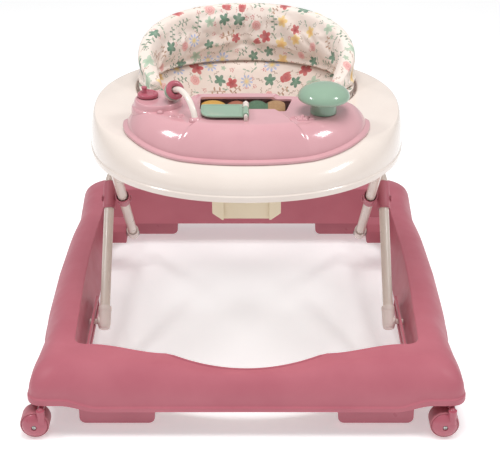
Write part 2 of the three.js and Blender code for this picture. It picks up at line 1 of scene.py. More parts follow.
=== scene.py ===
"""The baby walker's looks: fine mouldings, tubes, casters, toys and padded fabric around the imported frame.

Shapes are worked out in millimetres, +Z up, with the toys towards -Y, and become metres in add_object.
"""

from math import asin, cos, hypot, pi, radians, sin, sqrt
from types import SimpleNamespace as Sizes

import bmesh
import bpy
import numpy as np
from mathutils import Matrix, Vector
from mathutils.bvhtree import BVHTree


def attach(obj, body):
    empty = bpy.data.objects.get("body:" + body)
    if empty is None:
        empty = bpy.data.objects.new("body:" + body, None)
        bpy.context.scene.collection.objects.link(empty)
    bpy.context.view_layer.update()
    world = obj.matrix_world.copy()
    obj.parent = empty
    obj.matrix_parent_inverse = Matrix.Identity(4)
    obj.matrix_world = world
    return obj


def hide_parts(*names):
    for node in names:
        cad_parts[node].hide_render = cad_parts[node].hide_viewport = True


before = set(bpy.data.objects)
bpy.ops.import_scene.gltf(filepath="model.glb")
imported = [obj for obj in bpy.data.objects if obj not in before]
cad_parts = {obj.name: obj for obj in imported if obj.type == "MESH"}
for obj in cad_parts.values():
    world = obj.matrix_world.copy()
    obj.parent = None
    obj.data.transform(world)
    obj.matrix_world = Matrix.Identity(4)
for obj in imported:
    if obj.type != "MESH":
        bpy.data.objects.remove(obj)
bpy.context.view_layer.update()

# ---------- driving dimensions, as in the frame ----------
MM = 0.001
WALL = 3
BASE = Sizes(
    half_width=305, half_length=345, front_corner=22, rear_corner=42,
    inner_half_width=235, inner_front=262, inner_rear=253, inner_front_corner=24, inner_rear_corner=42,
    bottom=41, crest=106, corner_rise=10, scoop_half_width=108, scoop=22, scoop_dip=12,
    slope_end=215, slope=16, slope_dip=5,
)
LEG = Sizes(
    tube=7.6, sleeve=10.2, lower_arm=202, upper_arm=163, pivot=(164, 66), slope=radians(41.9),
    inner_x=193, outer_x=214.5, inner_top_x=193, outer_top_x=160, bend=30,
)
TRAY = Sizes(
    centre_y=-35, half_width=230, half_length=224, roundness=2.15,
    seat_y=50, seat_half_width=168, seat_half_length=108, seat_roundness=2.3,
    bottom=320, crest=378, front_deck=371, side_roll=12, front_roll=75,
)
CASTER = dict(radius=20.3, trail=9.5, front=(285, -332), rear=(258, 326))
TOY = Sizes(centre_y=-100, half_width=177, front=131, rear=44, edge_power=2.15, deck=(141, 88, 30),
            deck_power=2.1, deck_top=407, side_top=403.5)
BACK = Sizes(half_width=166, half_length=112, centre_y=56, bottom=380.6, top=476, drop=80, drop_power=2.3,
             end_angle=118, thickness=26)
SLING = Sizes(half_width=158, half_length=98, power=2.2, cloth=4.5, leg_hole=35.5, leg_hole_x=64)
SIDES = (("left", -1), ("right", 1))
CORNERS = [(f"{end}_{side}", sign, end) for end in ("front", "rear") for side, sign in SIDES]


# ---------- small geometry helpers ----------
def lerp(a, b, t):
    return a + (b - a) * t


def smoothstep(value, low, high):
    t = np.clip((value - low) / (high - low), 0, 1)
    return t * t * (3 - 2 * t)


def circle(count):
    """Evenly spaced angles once round."""
    return np.linspace(0, 2 * pi, count, endpoint=False)


def bezier(start, corner, end, t):
    """A point on the curve that leaves the start and reaches the end along the corner's two sides."""
    return (1 - t) ** 2 * start + 2 * t * (1 - t) * corner + t * t * end


def reach(angle, a, b, power):
    """Distance from the middle of a superellipse to its edge."""
    return (np.abs(np.cos(angle) / a) ** power + np.abs(np.sin(angle) / b) ** power) ** (-1 / power)


def superellipse(count, a, b, power, centre_y=0):
    angle = circle(count)
    radius = reach(angle, a, b, power)
    return np.column_stack([radius * np.cos(angle), centre_y + radius * np.sin(angle)])


def fillet(corners, steps=5, closed=False):
    """Rounds the corners of an outline of (u, v, setback) points; a setback of 0 keeps a corner sharp."""
    points = []
    count = len(corners)
    for k, (u, v, setback) in enumerate(corners):
        here = np.array((u, v), float)
        if setback == 0 or (not closed and k in (0, count - 1)):
            points.append(here)
            continue
        before = np.array(corners[k - 1][:2], float) - here
        after = np.array(corners[(k + 1) % count][:2], float) - here
        back = min(setback, 0.49 * np.linalg.norm(before), 0.49 * np.linalg.norm(after))
        start = here + before / np.linalg.norm(before) * back
        end = here + after / np.linalg.norm(after) * back
        for t in np.linspace(0, 1, steps + 1):
            points.append(bezier(start, here, end, t))
    return np.array(points)


def thicken(skin, thickness):
    """A closed section from a skin of (inward distance, height) points."""
    before = np.vstack([skin[:1], skin[:-1]])
    after = np.vstack([skin[1:], skin[-1:]])
    run = after - before
    length = np.linalg.norm(run, axis=1)[:, None]
    inside = skin + thickness * np.column_stack([run[:, 1], -run[:, 0]]) / length
    inside[0] = skin[0] + (thickness, 0)
    inside[-1] = skin[-1] - (thickness, 0)
    return np.vstack([skin, inside[::-1]])


def finish_mesh(obj, crease):
    """Faces outward, smooth shading, and sharp edges where it turns by more than the crease angle."""
    mesh = obj.data
    shape = bmesh.new()
    shape.from_mesh(mesh)
    bmesh.ops.recalc_face_normals(shape, faces=shape.faces)
    shape.to_mesh(mesh)
    shape.free()
    mesh.shade_smooth()
    mesh.set_sharp_from_angle(angle=radians(crease))
    return obj


def add_object(name, points, faces, crease=35):
    mesh = bpy.data.meshes.new(name)
    mesh.from_pydata((np.asarray(points, float) * MM).tolist(), [], faces)
    obj = bpy.data.objects.new(name, mesh)
    bpy.context.scene.collection.objects.link(obj)
    return finish_mesh(obj, crease)


def travelled(points):
    """Length from the first point along the others, at each of them."""
    return np.concatenate([[0], np.cumsum(np.linalg.norm(np.diff(points, axis=0), axis=1))])


def loft(name, loops, closed=False, crease=35):
    """A skin over loops of equally many points, capped at both ends unless it closes on itself."""
    rows, columns = len(loops), len(loops[0])
    faces = []
    for row in range(rows if closed else rows - 1):
        here, there = row * columns, (row + 1) % rows * columns
        for column in range(columns):
            right = (column + 1) % columns
            faces.append((here + column, here + right, there + right, there + column))
    if not closed:
        faces.append(tuple(range(columns)))
        faces.append(tuple((rows - 1) * columns + column for column in range(columns)))
    return add_object(name, np.vstack(loops), faces, crease)


def ring(name, outer, inner, section, crease=35):
    """A closed ring with its own section at each pair of matching points on two outlines."""
    loops = []
    for start, end in zip(outer, inner):
        width = np.linalg.norm(end - start)
        rim = section(start, end, width)
        plan = start + np.outer(rim[:, 0] / width, end - start)
        loops.append(np.column_stack([plan, rim[:, 1]]))
    return loft(name, loops, closed=True, crease=crease)


def basis(direction):
    """Two directions at right angles to the given one, and the direction itself."""
    along = Vector(direction).normalized()
    side = along.orthogonal().normalized()
    return np.array([side, along.cross(side), along])


def turned(name, profile, origin=(0, 0, 0), axis=(0, 0, 1), steps=64, closed=False, crease=35):
    """A round piece from (radius, distance along the axis) points."""
    side, up, along = basis(axis)
    angle = circle(steps)[:, None]
    loops = [np.array(origin) + radius * (np.cos(angle) * side + np.sin(angle) * up) + distance * along
             for radius, distance in profile]
    return loft(name, loops, closed=closed, crease=crease)


def sweep(name, path, radius, sides=24):
    """A round bar along a path; the radius is a number or one number for each point."""
    path = [Vector(p) for p in path]
    radii = [float(value) for value in np.broadcast_to(radius, len(path))]
    count = len(path)
    loops = []
    side = None
    for k, point in enumerate(path):
        before = path[k - 1] if k else point
        after = path[k + 1] if k < count - 1 else point
        along = (after - before).normalized()
        side = along.orthogonal() if side is None else side - along * side.dot(along)
        side.normalize()
        up = along.cross(side)
        turn = [2 * pi * step / sides for step in range(sides)]
        loops.append([point + radii[k] * (cos(a) * side + sin(a) * up) for a in turn])
    return loft(name, loops)


def joined(name, pieces):
    """One object from several closed pieces."""
    with bpy.context.temp_override(active_object=pieces[0], selected_editable_objects=pieces):
        bpy.ops.object.join()
    pieces[0].name = name
    pieces[0].data.name = name
    return pieces[0]


def apply_modifiers(obj):
    shape = bpy.data.meshes.new_from_object(obj.evaluated_get(bpy.context.evaluated_depsgraph_get()))
    obj.modifiers.clear()
    obj.data = shape
    return obj


def combine(obj, other, operation, crease):
    """Cuts a closed object out of another, or joins the two into one skin; the other one is used up."""
    step = obj.modifiers.new("combine", "BOOLEAN")
    step.object = other
    step.operation = operation
    step.solver = "EXACT"
    apply_modifiers(obj)
    bpy.data.objects.remove(other)
    return finish_mesh(obj, crease)


def carve(obj, cutter, crease=35):
    return combine(obj, cutter, "DIFFERENCE", crease)


def rounded_box(name, low, high, radius=1.0, steps=3):
    """A box with rounded edges."""
    x0, y0, z0 = low
    x1, y1, z1 = high
    points = [(x, y, z) for x in (x0, x1) for y in (y0, y1) for z in (z0, z1)]
    faces = [(0, 1, 3, 2), (4, 6, 7, 5), (0, 4, 5, 1), (2, 3, 7, 6), (0, 2, 6, 4), (1, 5, 7, 3)]
    box = add_object(name, points, faces)
    round_edges(box, radius, steps)
    return finish_mesh(apply_modifiers(box), 60)


def round_edges(obj, radius, steps=3):
    """Rounds the sharp edges of a faceted shape."""
    weld = obj.modifiers.new("weld", "WELD")
    weld.merge_threshold = 0.02 * MM
    bevel = obj.modifiers.new("round", "BEVEL")
    bevel.width = radius * MM
    bevel.segments = steps
    bevel.limit_method = "ANGLE"
    bevel.angle_limit = radians(30)


# ---------- materials ----------
def linear(red, green, blue):
    """Linear colour from screen values of 0 to 255."""
    values = [value / 255 for value in (red, green, blue)]
    return [value / 12.92 if value <= 0.04045 else ((value + 0.055) / 1.055) ** 2.4 for value in values] + [1]


class Paint:
    """A node material, built a step at a time."""

    def __init__(self, name, **settings):
        self.material = bpy.data.materials.new(name)
        self.material.use_nodes = True
        self.tree = self.material.node_tree
        self.shader = self.tree.nodes["Principled BSDF"]
        self.place = self.node("ShaderNodeTexCoord").outputs["Object"]
        for socket, value in settings.items():
            self.set(self.shader, socket.replace("_", " "), value)

    def node(self, kind, **settings):
        node = self.tree.nodes.new(kind)
        for name, value in settings.items():
            setattr(node, name, value)
        return node

    def set(self, node, socket, value):
        target = node.inputs[socket]
        if isinstance(value, bpy.types.NodeSocket):
            self.tree.links.new(value, target)
        else:
            target.default_value = value

    def math(self, operation, *values):
        node = self.node("ShaderNodeMath", operation=operation)
        for k, value in enumerate(values):
            self.set(node, k, value)
        return node.outputs[0]

    def times(self, *values):
        return self.math("MULTIPLY", *values)

    def plus(self, *values):
        return self.math("ADD", *values)

    def minus(self, *values):
        return self.math("SUBTRACT", *values)

    def sine(self, value):
        return self.math("SINE", value)

    def vector(self, operation, *values, output="Vector"):
        node = self.node("ShaderNodeVectorMath", operation=operation)
        for k, value in enumerate(values):
            self.set(node, "Scale" if operation == "SCALE" and k == 1 else k, value)
        return node.outputs[output]

    def noise(self, size, detail=2):
        """Noise from 0 to 1 with features of the given size in millimetres."""
        node = self.node("ShaderNodeTexNoise")
        self.set(node, "Vector", self.place)
        self.set(node, "Scale", 1 / (size * MM))
        self.set(node, "Detail", detail)
        return node.outputs["Fac"]

    def span(self, value, low, high, new_low=0.0, new_high=1.0):
        node = self.node("ShaderNodeMapRange")
        for socket, given in enumerate((value, low, high, new_low, new_high)):
            self.set(node, socket, given)
        return node.outputs["Result"]

    def mix(self, factor, first, second):
        node = self.node("ShaderNodeMix", data_type="RGBA")
        self.set(node, "Factor", factor)
        self.set(node, 6, first)
        self.set(node, 7, second)
        return node.outputs[2]

    def bump(self, height, depth, normal=None):
        """Bumps of the given depth in millimetres."""
        node = self.node("ShaderNodeBump")
        self.set(node, "Height", height)
        self.set(node, "Distance", depth * MM)
        if normal:
            self.set(node, "Normal", normal)
        return node.outputs["Normal"]

    def use(self, socket, value):
        self.set(self.shader, socket, value)
        return self


def moulded(name, colour, shade, roughness, grain=0.5, depth=0.012, wave=0.0, coat=0.0, **settings):
    """Moulded plastic: faint colour drift, uneven gloss, a fine grain and, on gloss, a slow ripple."""
    paint = Paint(name, IOR=1.48, Coat_Weight=coat, Coat_Roughness=0.08, **settings)
    drift = paint.span(paint.noise(70, 3), 0.3, 0.7)
    fleck = paint.span(paint.noise(1.6, 2), 0.35, 0.65)
    base = paint.mix(drift, linear(*colour), linear(*shade))
    paint.use("Base Color", paint.mix(paint.times(fleck, 0.12), base, linear(*[v * 0.93 for v in colour])))
    gloss = paint.span(paint.noise(24, 4), 0.25, 0.75, roughness * 0.86, roughness * 1.16)
    paint.use("Roughness", gloss)
    normal = paint.bump(paint.noise(grain, 2), depth)
    if wave:
        normal = paint.bump(paint.noise(26, 1), wave, normal)
    return paint.use("Normal", normal).material


def brushed_steel():
    paint = Paint("bright_zinc", Metallic=1.0)
    haze = paint.noise(3, 4)
    paint.use("Base Color", paint.mix(haze, linear(196, 196, 192), linear(158, 158, 156)))
    paint.use("Roughness", paint.span(haze, 0.3, 0.7, 0.2, 0.38))
    return paint.use("Normal", paint.bump(paint.noise(0.4, 2), 0.01)).material


def powder_coat():
    """Smooth cream powder coat on steel tube, with its faint orange peel."""
    paint = Paint("cream_powder_coat", IOR=1.5, Coat_Weight=0.35, Coat_Roughness=0.12)
    drift = paint.noise(40, 3)
    paint.use("Base Color", paint.mix(drift, linear(226, 213, 202), linear(216, 200, 188)))
    paint.use("Roughness", paint.span(paint.noise(9, 3), 0.3, 0.7, 0.26, 0.38))
    return paint.use("Normal", paint.bump(paint.noise(1.1, 2), 0.02)).material


PINK = moulded("base_pink_matte", (190, 108, 121), (182, 99, 113), 0.5, grain=0.45, depth=0.02)
ROSE = moulded("rose_satin", (182, 96, 111), (174, 88, 103), 0.3, coat=0.2)
CREAM = moulded("cream_gloss", (238, 226, 217), (233, 220, 211), 0.16, wave=0.05, coat=0.6)
WHITE = moulded("cap_white_satin", (232, 219, 212), (222, 208, 200), 0.4)
BEIGE = moulded("handle_beige_satin", (236, 221, 192), (228, 212, 182), 0.35)
TOY_PINK = moulded("toy_pink_gloss", (218, 166, 172), (210, 156, 163), 0.15, wave=0.05, coat=0.6)
GREEN = moulded("toy_green_gloss", (150, 177, 155), (140, 168, 146), 0.2, wave=0.03, coat=0.5)
TYRE = moulded("tyre_rose", (186, 112, 122), (176, 102, 112), 0.5, depth=0.03)
STEEL = brushed_steel()
COAT = powder_coat()


def dress(obj, material, body, slot, *nodes):
    """Gives a piece its finish and its body, and hides the nodes it stands for."""
    obj.data.materials.clear()
    obj.data.materials.append(material)
    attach(obj, body)
    if nodes:
        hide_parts(*nodes)
    return obj


def finish_node(name, material, edge=0.0):
    """Gives a carried-over node its finish and, where asked, rounded edges."""
    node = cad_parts[name]
    node.data.materials.clear()
    node.data.materials.append(material)
    if edge:
        round_edges(node, edge)


# ---------- base ----------
def rounded_rectangle(half_width, front, rear, front_corner, rear_corner):
    """A rounded rectangle, anticlockwise from the front middle, with a fixed count of points."""
    points = []

    def line(start, end, steps):
        for t in np.linspace(0, 1, steps, endpoint=False):
            points.append(lerp(np.array(start, float), np.array(end, float), t))

    def corner(x, y, radius, start):
        for angle in np.linspace(start, start + pi / 2, 14, endpoint=False):
            points.append(np.array((x + radius * cos(angle), y + radius * sin(angle))))

    front_x, rear_x = half_width - front_corner, half_width - rear_corner
    front_y, rear_y = front_corner - front, rear - rear_corner
    line((0, -front), (front_x, -front), 60)
    corner(front_x, front_y, front_corner, -pi / 2)
    line((half_width, front_y), (half_width, rear_y), 64)
    corner(rear_x, rear_y, rear_corner, 0)
    line((rear_x, rear), (-rear_x, rear), 48)
    corner(-rear_x, rear_y, rear_corner, pi / 2)
    line((-half_width, rear_y), (-half_width, front_y), 64)
    corner(-front_x, front_y, front_corner, pi)
    line((-front_x, -front), (0, -front), 60)
    return np.array(points)


def front_shape(x, y):
    """The slope of the front bar's inner edge and its depth in the middle scoop, each 0 to 1."""
    front = np.where(np.asarray(y) < 0, 1.0, 0.0)
    slope = 1 - smoothstep(np.abs(x), BASE.scoop_half_width, BASE.slope_end)
    scoop = np.clip(1 - (np.asarray(x) / BASE.scoop_half_width) ** 2, 0, 1)
    return front * slope, front * scoop


def base_outlines():
    length = BASE.half_length
    outer = rounded_rectangle(BASE.half_width, length, length, BASE.front_corner, BASE.rear_corner)
    y = outer[:, 1]
    waist = 5 * np.exp(-(((y - 200) / 50) ** 2)) + 5 * np.exp(-(((y + 205) / 50) ** 2))
    taper = np.where(y > 0, 14 * y / length, 0)
    outer[:, 0] *= 1 - (waist + taper) / BASE.half_width
    inner = rounded_rectangle(BASE.inner_half_width, BASE.inner_front, BASE.inner_rear,
                              BASE.inner_front_corner, BASE.inner_rear_corner)
    slope, scoop = front_shape(inner[:, 0], inner[:, 1])
    inner[:, 1] -= BASE.slope * slope + BASE.scoop * scoop
    return outer, inner


def base_section(start, end, width):
    """The base bar's section: a stepped bead, a swelling outer face, the crest and the inner wall."""
    corner = smoothstep(abs(start[0]), 208, 258) * smoothstep(abs(start[1]), 262, 306)
    low = BASE.bottom + BASE.corner_rise * corner
    slope, scoop = (float(part) for part in front_shape(*end[:2]))
    crest = BASE.crest - BASE.slope_dip * slope - BASE.scoop_dip * scoop
    side = smoothstep(abs(end[0]), BASE.inner_half_width - BASE.inner_front_corner, BASE.inner_half_width)
    lean = 6 + 7 * side
    rim = 6.4 + 2.4 * corner
    bead = fillet([(0.4, low, 0), (0, low + 1, 0.8), (0, low + rim, 1.4), (2.4, low + rim + 1.2, 0.8),
                   (3.2, low + rim + 3.4, 0)], 4)
    swell = 0.62 * width - 3.2
    turn = np.linspace(0, pi / 2, 22)[1:]
    face = np.column_stack([3.2 + swell * (1 - np.cos(turn)),
                            low + rim + 3.4 + (crest - low - rim - 3.4) * np.sin(turn)])
    lip = width - lean
    ridge = 1.8 * smoothstep(scoop, 0.02, 0.2)
    wall = fillet([(face[-1][0] + 4, crest, 0), (lip - 5.4, crest - 0.6, 1.5),
                   (lip - 4.4, crest - 0.4 + ridge, 0.7),
                   (lip - 1.5, crest - 1 + ridge, lerp(5, 1.6, ridge / 1.8)), (width, BASE.bottom, 0)], 5)
    return thicken(np.vstack([bead, face, wall]), WALL)


def make_base():
    shell = ring("base_moulding", *base_outlines(), base_section, crease=50)
    dress(shell, PINK, "base", "base_pink", "base_shell")
    for side, _ in SIDES:
        finish_node(f"front_stopper_{side}", ROSE, 1.6)
        finish_node(f"rear_stopper_{side}", ROSE, 1.6)
        finish_node(f"pivot_post_{side}", PINK, 4)
        finish_node(f"slider_track_{side}", PINK, 0.5)
        finish_node(f"rear_pivot_pin_{side}", STEEL, 0.6)


# ---------- casters ----------
def make_caster(label, sign, end):
    """One caster: its stem on a vertical axis, the wheel trailing, the hood facing outwards along Y."""
    x, y = CASTER[end]
    out = -1 if end == "front" else 1
    stem = np.array((sign * x, y, 0.0))
    middle = stem + (out * CASTER["trail"], 0, CASTER["radius"])
    facing = (0, out, 0)
    dome = [(18.4 * cos(a), 12.0 + 10.0 * sin(a)) for a in np.linspace(0, radians(76), 14)]
    recess = fillet([(4.45, 21.8, 0), (3.7, 21.3, 0.3), (3.6, 19.6, 0), (0.4, 19.5, 0)], 3)
    hood = turned("hood", [(3.3, 11.0), (17.8, 11.0), (18.4, 11.3), *dome[:-1], *recess], middle, facing,
                  crease=45)
    arm = sweep("arm", [stem + (0, out * 14.6, z) for z in np.linspace(24, 45, 8)],
                np.interp(np.linspace(0, 1, 8), [0, 0.5, 1], [6.2, 5.6, 6.0]), 28)
    shoulder = [stem + (0, out * 15 * cos(a), 40.6 + 3.4 * sin(a)) for a in np.linspace(0, pi / 2, 6)]
    bridge = sweep("bridge", [*shoulder, stem + (0, -out * 4.5, 44)], [3.6, 4.2, 4.6, 4.6, 4.6, 4.6, 4.2], 24)
    pin = turned("stem", [(4.5, 42.5), (4.5, 63.2), (3.8, 64)], stem)
    fork = joined(f"caster_hood_{label}", [hood, arm, bridge, pin])
    dress(fork, ROSE, f"caster_{label}", "base_pink", f"caster_fork_{label}")

    tread = fillet([(3.3, -14, 0), (12, -14, 0), (13, -12.4, 0.6), (16.4, -12.4, 0.6), (17.4, -14, 0.6),
                    (18.6, -14, 1.2), (20.3, -11, 1.6), (20.3, 12.4, 1.0), (19.5, 13.9, 0.6),
                    (18.5, 13.9, 0.3), (18.4, 10.6, 0), (3.3, 10.6, 0)], 4)
    wheel = turned(f"caster_tyre_{label}", tread, middle, facing, closed=True)
    dress(wheel, TYRE, f"wheel_{label}", "rose_plastic", f"caster_wheel_{label}")

    head = turned("head", [(2.6, 18.6), (3.1, 19.8), (2.7, 20.6), (1.4, 21.1), (0.3, 21.2)], middle, facing,
                  32)
    for across in ((1, 0, 0), (0, 0, 1)):
        half = np.array(across) * 1.9 + (0.35, 0, 0.35) - np.array(across) * 0.35
        centre = middle + np.array(facing) * 21.0
        low = centre - half - (0, 0.7, 0)
        carve(head, rounded_box("slot", low, centre + half + (0, 0.7, 0), 0.08, 1))
    shaft = turned("shaft", [(2.6, -15.2), (3.0, -14.8), (3.0, 18.8)], middle, facing, 24)
    axle = joined(f"caster_screw_{label}", [head, shaft])
    dress(axle, STEEL, f"caster_{label}", "steel", f"caster_axle_{label}")


# ---------- crossing legs ----------
def along(start, distance, direction):
    """A point on a leg's slope, in the YZ plane."""
    y, z = start
    return (y + direction * distance * cos(LEG.slope), z + distance * sin(LEG.slope))


CROSSING = along(LEG.pivot, LEG.lower_arm, -1)
OUTER_FOOT = along(CROSSING, -LEG.lower_arm, 1)
LEG_LENGTH = LEG.lower_arm + LEG.upper_arm
LEGS = {
    "inner": Sizes(x=LEG.inner_x, top_x=LEG.inner_top_x, foot=LEG.pivot, direction=-1),
    "outer": Sizes(x=LEG.outer_x, top_x=LEG.outer_top_x, foot=OUTER_FOOT, direction=1),
}


def leg_point(leg, x, distance):
    return np.array((x, *along(leg.foot, distance, leg.direction)))


def leg_path(leg):
    """The middle line of a U tube: up one leg, leaning in to its top corner, across, and down."""
    corner = leg_point(leg, leg.top_x, LEG_LENGTH)
    kink = leg_point(leg, leg.x, LEG.lower_arm + 34)
    before = lerp(corner, kink, LEG.bend / np.linalg.norm(kink - corner))
    after = leg_point(leg, leg.top_x - LEG.bend, LEG_LENGTH)
    bend = [bezier(before, corner, after, t) for t in np.linspace(0, 1, 16)]
    near = leg_point(leg, leg.x, LEG.lower_arm + 28)
    past = lerp(kink, before, 0.1)
    ease = [bezier(near, kink, past, t) for t in np.linspace(0, 1, 8)]
    half = [leg_point(leg, leg.x, 9), leg_point(leg, leg.x, 120), *ease, *bend]
    return half + [p * (-1, 1, 1) for p in reversed(half)]


def on_leg(name, leg, x, profile, **options):
    """A round piece about a leg, from (radius, distance from the foot) points."""
    foot = leg_point(leg, x, 0)
    axis = leg_point(leg, x, 1) - foot
    return turned(name, profile, foot, axis, **options)


def make_legs():
    bore = LEG.tube + 0.35
    shell = LEG.sleeve
    for name, leg in LEGS.items():
        tube = sweep(f"{name}_tube", leg_path(leg), LEG.tube, 32)
        dress(tube, COAT, f"{name}_legs", "tube_cream", f"{name}_leg_tube")
    for side, sign in SIDES:
        leg = LEGS["outer"]
        sleeve = fillet([(bore, 185.2, 0), (bore + 0.6, 184, 0.4), (shell, 184, 1.2), (shell, 187, 0.8),
                         (shell - 0.7, 188.4, 0.8), (shell - 0.4, 214, 4), (shell, 222, 3),
                         (shell - 0.6, 229, 3), (bore, 230, 0)], 5)
        piece = on_leg(f"outer_sleeve_{side}", leg, sign * leg.x, sleeve, closed=True)
        dress(piece, PINK, "outer_legs", "base_pink", f"outer_leg_sleeve_{side}")
        leg = LEGS["inner"]
        clamp = fillet([(bore, 188.4, 0), (bore + 0.5, 188, 0.3), (shell - 0.6, 188, 0.8),
                        (shell - 0.4, 203, 2), (shell + 0.8, 208, 2), (shell + 0.8, 218, 1.4),
                        (shell - 0.6, 218, 0.6), (shell - 0.8, 212, 0.4), (bore, 211, 0)], 5)
        piece = on_leg(f"inner_clamp_{side}", leg, sign * leg.x, clamp, closed=True)
        dress(piece, PINK, "inner_legs", "base_pink", f"inner_leg_clamp_{side}")
        finish_node(f"cross_pin_{side}", PINK, 0.3)
        tip = [(0.4, -11.2, 0), (7.8, -11.2, 1.6), (9.3, -6, 3), (9.3, 14, 1), (10, 15.6, 0.8),
               (10, 21.4, 0.7)]
        socket = [(bore + 0.3, 22, 0.4), (bore, 20.8, 0), (bore, 8.6, 0), (0.4, 8.5, 0)]
        make_leg_cap(side, sign, "inner", tip + socket)
        tip = [(0.4, -12, 0), (8.0, -12, 1.8), (9.5, -6, 3), (9.5, 15, 1), (10, 16.6, 0.8), (10, 23.4, 0.7)]
        socket = [(bore + 0.3, 24, 0.4), (bore, 22.8, 0), (bore, 8.6, 0), (0.4, 8.5, 0)]
        make_leg_cap(side, sign, "outer", tip + socket)


def make_leg_cap(side, sign, name, profile):
    """A tube's end cap, with its boss towards the base's wall."""
    leg = LEGS[name]
    cap = on_leg(f"{name}_cap", leg, sign * leg.x, fillet(profile, 4))
    y, z = leg.foot
    if name == "outer":
        post = [(7.2, 0, 0), (7.2, 9.5, 1), (4.1, 10.4, 0.6), (4.1, 22, 0.6), (0.4, 22, 0)]
    else:
        post = [(5.6, 0, 0), (5.6, 9.2, 1), (0.4, 9.4, 0)]
    boss = turned("boss", fillet(post, 3), (sign * leg.x, y, z), (sign, 0, 0), 40)
    dress(joined(f"{name}_cap_{side}", [cap, boss]), WHITE, f"{name}_legs", "cap_white",
          f"{name}_leg_cap_{side}")


# ---------- tray ----------
RING_STEPS = 224


def tray_section(start, end, width):
    """The tray ring's section: a lip band, the outer roll, the deck and the turned-down seat edge."""
    front = smoothstep(TRAY.seat_y - end[1], -10, 90)
    crest = lerp(TRAY.crest, TRAY.front_deck, front)
    forward = np.clip((-40 - start[1]) / 200, 0, 1)
    roll = min(lerp(TRAY.side_roll, TRAY.front_roll, forward**3), 0.75 * width)
    low = TRAY.bottom
    band = fillet([(1.6, low, 0), (-0.6, low + 0.8, 0.8), (-1, low + 8.4, 1.0), (1.0, low + 10, 0.8),
                   (1.0, low + 12, 0)], 4)
    turn = np.linspace(0, pi / 2, 22)[1:]
    face = np.column_stack([1 + (roll - 1) * (1 - np.cos(turn)),
                            low + 12 + (crest - low - 12) * np.sin(turn)])
    edge = fillet([(roll + 1.5, crest, 0), (width, crest - 0.4, 5), (width, crest - 22, 0)], 6)
    return thicken(np.vstack([band, face, edge]), WALL)


def seat_outline(count, inset):
    return superellipse(count, TRAY.seat_half_width - inset, TRAY.seat_half_length - inset,
                        TRAY.seat_roundness, TRAY.seat_y)


def make_tray():
    outer = superellipse(RING_STEPS, TRAY.half_width, TRAY.half_length, TRAY.roundness, TRAY.centre_y)
    tray = ring("tray_moulding", outer, seat_outline(RING_STEPS, 0), tray_section, crease=50)
    dress(tray, CREAM, "tray", "tray_cream", "tray_ring")
    finish_node("leg_bracket_left", CREAM, 1)
    finish_node("leg_bracket_right", CREAM, 1)
    finish_node("height_rack", CREAM, 0.8)
    finish_node("seat_hoop", WHITE, 0.6)
    finish_node("release_handle", BEIGE, 1.2)
    return tray


# ---------- toy tray ----------
TOY_STEPS = 360
TURRET = (-126, -100)
MUSHROOM = (108, -136)
ARCH = Sizes(foot=(-110, -100), end=(-71, -170), radius=42.6, rise=28, tube=4.4)
DIAL = (-141, -92)
BINDER = Sizes(x=-1, z=414, front=-178, rear=-126)


def oval(angle, half_width, front, rear, power=2):
    """Distance from the toy tray's middle to an oval with its own reach to the front and to the rear."""
    return reach(angle, half_width, np.where(np.sin(angle) < 0, front, rear), power)


def toy_top(x, y):
    """Height of the toy tray's deck: the side lobes, and the block in the middle that stands above them."""
    right = np.interp(-y, (130, 150, 165, 200), (38, 51, 57, 66))
    block = smoothstep(x, -71, -65) * (1 - smoothstep(x, right, right + 5))
    return lerp(TOY.side_top, TOY.deck_top, block)


def ring_heights(tray, points):
    """Height of the tray ring's surface under each plan point."""
    tree = BVHTree.FromObject(tray, bpy.context.evaluated_depsgraph_get())
    heights = []
    for x, y in points:
        hit = tree.ray_cast(Vector((x * MM, y * MM, 1)), Vector((0, 0, -1)))[0]
        high = hit.z / MM if hit else 0
        heights.append(high if high > TRAY.bottom + 12 else TRAY.front_deck)
    return np.array(heights)


def toy_body(tray):
    """The tray's main moulding: a flange that lies on the ring, a crease, a swelling side and the deck."""
    angle = circle(TOY_STEPS)
    way = np.column_stack([np.cos(angle), np.sin(angle)])
    edge = oval(angle, TOY.half_width, TOY.front, TOY.rear, TOY.edge_power)
    deck = oval(angle, *TOY.deck, TOY.deck_power)
    centre = np.array((0, TOY.centre_y))
    rest = ring_heights(tray, centre + way * (edge - 1)[:, None])
    for _ in range(6):
        rest = (np.roll(rest, 1) + 2 * rest + np.roll(rest, -1)) / 4
    inward = edge - deck
    band = np.minimum(0.18 * inward, 7.0)

    def loop(radius, height):
        return np.column_stack([centre + way * np.broadcast_to(radius, angle.shape)[:, None],
                                np.broadcast_to(height, angle.shape)])

    def top_at(radius):
        plan = centre + way * np.broadcast_to(radius, angle.shape)[:, None]
        return toy_top(plan[:, 0], plan[:, 1])

    loops = [loop(edge - 2.5, rest + 0.5), loop(edge - 0.6, rest + 0.5), loop(edge, rest + 1.1),
             loop(edge, rest + 3.4), loop(edge - 0.4, rest + 4.2), loop(edge - 1.2, rest + 4.6)]
    for t in np.linspace(0.25, 1, 4):
        loops.append(loop(edge - 1.2 - (band - 1.2) * t, rest + 4.6 + 1.4 * t))
    crease = rest + 6.0
    for t in np.linspace(0.02, 1, 30):
        rise = sin(t * pi / 2) ** 0.72
        radius = edge - band - (inward - band) * t
        loops.append(loop(radius, lerp(crease, top_at(deck * 0.96), rise)))
    for t in np.linspace(0.965, 0.004, 44):
        loops.append(loop(deck * t, top_at(deck * t)))
    for t in np.linspace(0.004, 0.9, 8):
        loops.append(loop(deck * t, top_at(deck * t) - WALL))
    loops.append(loop(lerp(deck, edge - band, 0.5), lerp(crease, top_at(deck * 0.96), 0.62) - WALL))
    loops.append(loop(edge - band - WALL, rest + 2))
    return loft("toy_body", loops, closed=True, crease=24)


def merge(obj, other):
    return combine(obj, other, "UNION", 24)


